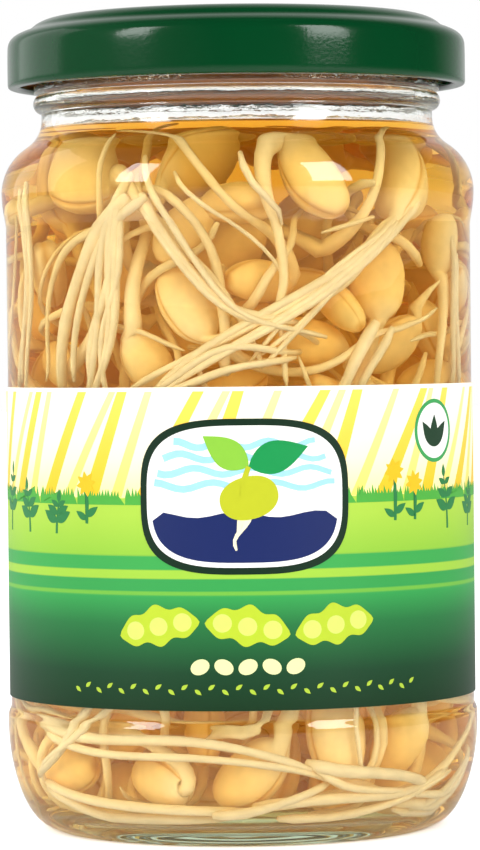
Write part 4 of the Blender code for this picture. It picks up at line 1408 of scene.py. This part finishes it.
def loose_roots(draw):
    """Single roots, flat against the glass, that run side by side, part and cross a little."""
    made = []
    for count, thick, first, last, stations in (*FRONT_FANS, *back_fans(draw)):
        slope = math.atan2(
            stations[-1][1] - stations[0][1],
            math.radians(stations[-1][0] - stations[0][0]) * CAVITY_RADIUS,
        )
        stops = np.linspace(0.0, 1.0, len(stations))
        for k in range(count):
            place = (k - (count - 1) / 2) / max(1, count - 1)
            sides = place + draw.normal(0.0, 0.3, 2)
            radius = thick * draw.uniform(0.7, 1.5)
            at = np.linspace(draw.uniform(-0.06, 0.12), draw.uniform(0.8, 1.08), STRAND_STATIONS)
            bearings = np.interp(at, stops, [p[0] for p in stations])
            heights = np.interp(at, stops, [p[1] for p in stations])
            run_on = np.maximum(0.0, at - 1.0) + np.minimum(0.0, at)
            bearings += run_on * (stations[-1][0] - stations[0][0])
            heights += run_on * (stations[-1][1] - stations[0][1])
            for _ in range(8):
                bearings[1:-1] = (bearings[:-2] + 2 * bearings[1:-1] + bearings[2:]) / 4
                heights[1:-1] = (heights[:-2] + 2 * heights[1:-1] + heights[2:]) / 4
            apart = sides[0] * first * (1 - at) + sides[1] * last * at
            sway = draw.uniform(0.4, 1.3)
            apart += sway * np.sin(at * draw.uniform(3.0, 6.0) + draw.uniform(0, 6.3))
            bearings -= np.degrees(apart * math.sin(slope) / CAVITY_RADIUS)
            heights = np.clip(heights + apart * math.cos(slope), ROOTS_LOW, ROOTS_HIGH)
            dive = np.maximum(0.0, at - 0.72) ** 2 * draw.uniform(10, 70)
            dive += np.maximum(0.0, 0.2 - at) ** 2 * draw.uniform(30, 110)
            depth = draw.uniform(0.0, 0.9) + np.minimum(7.0, dive)
            points = []
            for bearing, height, deep in zip(np.radians(bearings), heights, depth):
                out = cavity_radius(height, STRAND_INSET) - radius - deep
                points.append((out * math.sin(bearing), -out * math.cos(bearing), height))
            made.append((radius, np.array(points)))
    return made


def pressed_in(balls, radii, walls):
    """Holds the core's balls off the glass, by a table of the cavity's radius."""
    out = np.hypot(balls[:, 0], balls[:, 1])
    dome = FLOOR_DOME * np.clip(1 - (out / HEEL_X) ** 2, 0, 1)
    low = FLOOR_HEIGHT + 0.3 + dome + radii * 0.75
    balls[:, 2] = np.clip(balls[:, 2], low, CORE_TOP - radii)
    most = np.minimum.reduce(
        [
            np.interp(balls[:, 2] + radii * shift, *walls) - radii * inset
            for shift, inset in ((0.0, 1.0), (-0.7, 0.72), (0.7, 0.72))
        ]
    )
    out = np.hypot(balls[:, 0], balls[:, 1])
    balls[:, :2] *= np.minimum(1.0, most / np.maximum(out, 1e-6))[:, None]


def lay_core(settled):
    """Lays the sprouts of the middle round those already settled, which stay where they are."""
    draw = np.random.default_rng(SEED + 1)
    starts = [core_start(draw, i < DRIFTED_SEEDS) for i in range(CORE_SPROUTS)]
    kept = np.vstack([balls for _, balls in settled])
    kept_radii = np.concatenate([reach_of(size) for size, _ in settled])
    balls = np.vstack([kept, *[start[1] for start in starts]])
    radii = np.concatenate([kept_radii, *[start[2] for start in starts]])
    owner = np.arange(len(balls)) // BALLS
    move = len(kept)
    share = (np.arange(len(balls)) >= move).astype(float) / radii**2 + 1e-9
    links = linked(len(settled), balls)
    heights = np.linspace(2.0, BRINE_LEVEL, 140)
    walls = (heights, np.array([cavity_radius(h, SPROUT_INSET) for h in heights]))
    for turn in range(CORE_ROUNDS):
        if turn % 10 == 0:
            a, b = near_pairs(balls, radii, owner, move)
        reach = radii[a] * CORE_OVERLAP + radii[b] * CORE_OVERLAP
        push_apart(balls, share, (a, b), reach, 0.5)
        hold_form(balls, share, links)
        balls[:move] = kept
        pressed_in(balls[move:], radii[move:], walls)
    lines = balls.reshape(-1, BALLS, 3)[len(settled) :]
    for _ in range(2):
        lines[:, 4:-1] = (lines[:, 3:-2] + 2 * lines[:, 4:-1] + lines[:, 5:]) / 4
    return [
        (size, line[: 3 + stub] if stub else line)
        for (size, _, _, stub), line in zip(starts, lines)
    ]


def near_pairs(balls, radii, owner, move):
    """Pairs of balls of different sprouts that are close enough to meet soon."""
    tree = kdtree.KDTree(len(balls))
    for i, ball in enumerate(balls):
        tree.insert(ball, i)
    tree.balance()
    most = radii.max()
    low, high = [], []
    for i in range(move, len(balls)):
        for _, other, gap in tree.find_range(balls[i], radii[i] + most + 2.0):
            if other >= i and other >= move:
                continue
            if owner[other] != owner[i] and gap < radii[i] + radii[other] + 2.0:
                low.append(other)
                high.append(i)
    return np.array(low), np.array(high)


def outer_shine(tree, path):
    """One for a ray that shines straight back off an outer face, nought for one behind glass."""
    first = {"operation": "LESS_THAN", 1: 0.5}
    clear = add(tree, "ShaderNodeMath", first, _0=path["Transmission Depth"])
    return add(tree, "ShaderNodeMath", TIMES, _0=clear, _1=path["Is Glossy Ray"])


def surround():
    """The white surround. It dims soft light and outer shine, and fills the jar from within."""
    world = bpy.data.worlds.new("surround")
    bpy.context.scene.world = world
    world.use_nodes = True
    tree = world.node_tree
    path = add(tree, "ShaderNodeLightPath").outputs
    way = add(tree, "ShaderNodeTexCoord").outputs["Generated"]
    parts = add(tree, "ShaderNodeSeparateXYZ", _0=way).outputs
    grazing, left_shine, left_soft, slope = (
        add(
            tree,
            "ShaderNodeMapRange",
            {"From Min": start, "From Max": end, "To Min": first, "To Max": second},
            Value=parts[axis],
        )
        for axis, start, end, first, second in SHARES
    )
    shade = add(tree, "ShaderNodeMath", TIMES, _0=grazing, _1=left_shine)
    inner = {"operation": "GREATER_THAN", 1: 0.5}
    deep = add(tree, "ShaderNodeMath", inner, _0=path["Diffuse Depth"])
    within = add(tree, "ShaderNodeMath", TIMES, _0=deep, _1=path["Is Transmission Ray"])
    level = None
    for kind, share, change in (
        (path["Is Diffuse Ray"], left_soft, SOFT_LIGHT),
        (outer_shine(tree, path), shade, OUTER_SHINE),
        (within, slope, FILL_LIGHT),
    ):
        both = add(tree, "ShaderNodeMath", TIMES, _0=kind, _1=share)
        sum_up = {"operation": "MULTIPLY_ADD", 1: change, 2: 1.0}
        step = add(tree, "ShaderNodeMath", sum_up, _0=both)
        if level:
            feed(tree, step, {"_2": level})
        level = step
    whites = {"Color1": "#FFFFFF", "Color2": FILL_COLOUR}
    hue = add(tree, "ShaderNodeMixRGB", whites, Fac=within)
    feed(tree, tree.nodes["Background"], {"Color": hue, "Strength": level})


def soft_boxes():
    """Two tall soft boxes that the gloss picks up, and a weak panel at the left."""
    for name, bearing, wide, low, power in LAMPS:
        lamp = bpy.data.lights.new(name, "AREA")
        lamp.shape = "RECTANGLE"
        lamp.size = wide * MM
        lamp.size_y = LAMP_TOP - low
        lamp.energy = power * math.pi * lamp.size * lamp.size_y
        obj = bpy.data.objects.new(name, lamp)
        bpy.context.scene.collection.objects.link(obj)
        turn = math.radians(bearing)
        out = (LAMP_DISTANCE * math.sin(turn), -LAMP_DISTANCE * math.cos(turn))
        obj.location = (*out, low + lamp.size_y / 2)
        aim = Vector((-obj.location.x, -obj.location.y, 0.0))
        obj.rotation_euler = aim.to_track_quat("-Z", "Y").to_euler()
        obj.visible_camera = False


def sweep_board():
    """The white board under the jar: matt, and lit from within so that it looks evenly white, with
    a painted shadow where that glow fades under the jar.
    """
    mesh = bpy.data.meshes.new("sweep")
    shape = bmesh.new()
    bmesh.ops.create_grid(shape, x_segments=2, y_segments=2, size=4.0)
    shape.to_mesh(mesh)
    shape.free()
    made, tree, shader = finish("white_sweep_board", BOARD)
    path = add(tree, "ShaderNodeLightPath").outputs
    shine = outer_shine(tree, path)
    dimmed = {"operation": "MULTIPLY_ADD", 1: BOARD_IN_SHINE, 2: BOARD_GLOW}
    lift = add(tree, "ShaderNodeMath", dimmed, _0=shine)
    raised = {"operation": "MULTIPLY_ADD", 1: BOARD_SEEN}
    seen = add(tree, "ShaderNodeMath", raised, _0=path["Is Camera Ray"], _2=lift)
    place = add(tree, "ShaderNodeTexCoord").outputs["Object"]
    away = add(tree, "ShaderNodeVectorMath", {"operation": "LENGTH"}, _0=place)
    # painted shadow: the glow is cut near the jar's axis
    clear = add(tree, "ShaderNodeMapRange", PAINTED_SHADOW_UNDER_JAR, Value=away.outputs["Value"])
    feed(tree, shader, {"Emission Strength": add(tree, "ShaderNodeMath", TIMES, _0=seen, _1=clear)})
    new_piece("sweep", mesh, made)


def studio():
    """The studio of the photograph: plain colours, deep light paths for glass, lights and board."""
    scene = bpy.context.scene
    scene.view_settings.view_transform = "Standard"
    scene.cycles.max_bounces = 24
    scene.cycles.glossy_bounces = 20
    scene.cycles.diffuse_bounces = 8
    scene.cycles.transmission_bounces = 20
    surround()
    soft_boxes()
    sweep_board()


def photo_camera():
    """The camera of the photograph: far off, at label height, looking slightly down."""
    lens = bpy.data.cameras.new("photo_camera")
    lens.sensor_fit = "VERTICAL"
    lens.sensor_height = SENSOR
    lens.lens = FOCAL_PIXELS / PICTURE_HEIGHT * SENSOR
    lens.clip_end = 20.0
    obj = bpy.data.objects.new("photo_camera", lens)
    bpy.context.scene.collection.objects.link(obj)
    pitch = Matrix.Rotation(math.radians(90.0 - CAMERA_PITCH), 4, "X")
    roll = Matrix.Rotation(math.radians(-CAMERA_ROLL), 4, "Z")
    place = Matrix.Translation((0.0, -CAMERA_DISTANCE * MM, CAMERA_HEIGHT * MM))
    obj.matrix_world = place @ pitch @ roll
    bpy.context.scene.camera = obj


def main():
    """Dresses the frame piece by piece."""
    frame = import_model()
    photo_camera()
    studio()
    clear_jar(soda_lime_glass())
    brine_body(amber_brine())
    tin_lid(lacquered_tinplate(), gold_lacquer())
    seal = frame["nodes"]["lid_gasket"]
    compound = sealing_compound()
    for place in seal.material_slots:
        place.material = compound
    paper_label(printed_paper())
    label_print()
    flesh = soaked_seed()
    draw = np.random.default_rng(SEED + 2)
    laid = lay_sprouts()
    for i, (size, balls) in enumerate(laid):
        node = f"sprout_{i + 1:02d}"
        grown(f"fine_{node}", [skin(size, balls, True, draw)], flesh, [node])
    loose = [skin(0.0, balls, False, draw, radius) for radius, balls in loose_roots(draw)]
    grown("loose_roots", loose, flesh)
    core = [skin(size, balls, False, draw) for size, balls in lay_core(laid)]
    for bundle in range(CORE_BUNDLES):
        grown(f"core_sprouts_{bundle + 1}", core[bundle::CORE_BUNDLES], flesh)


main()
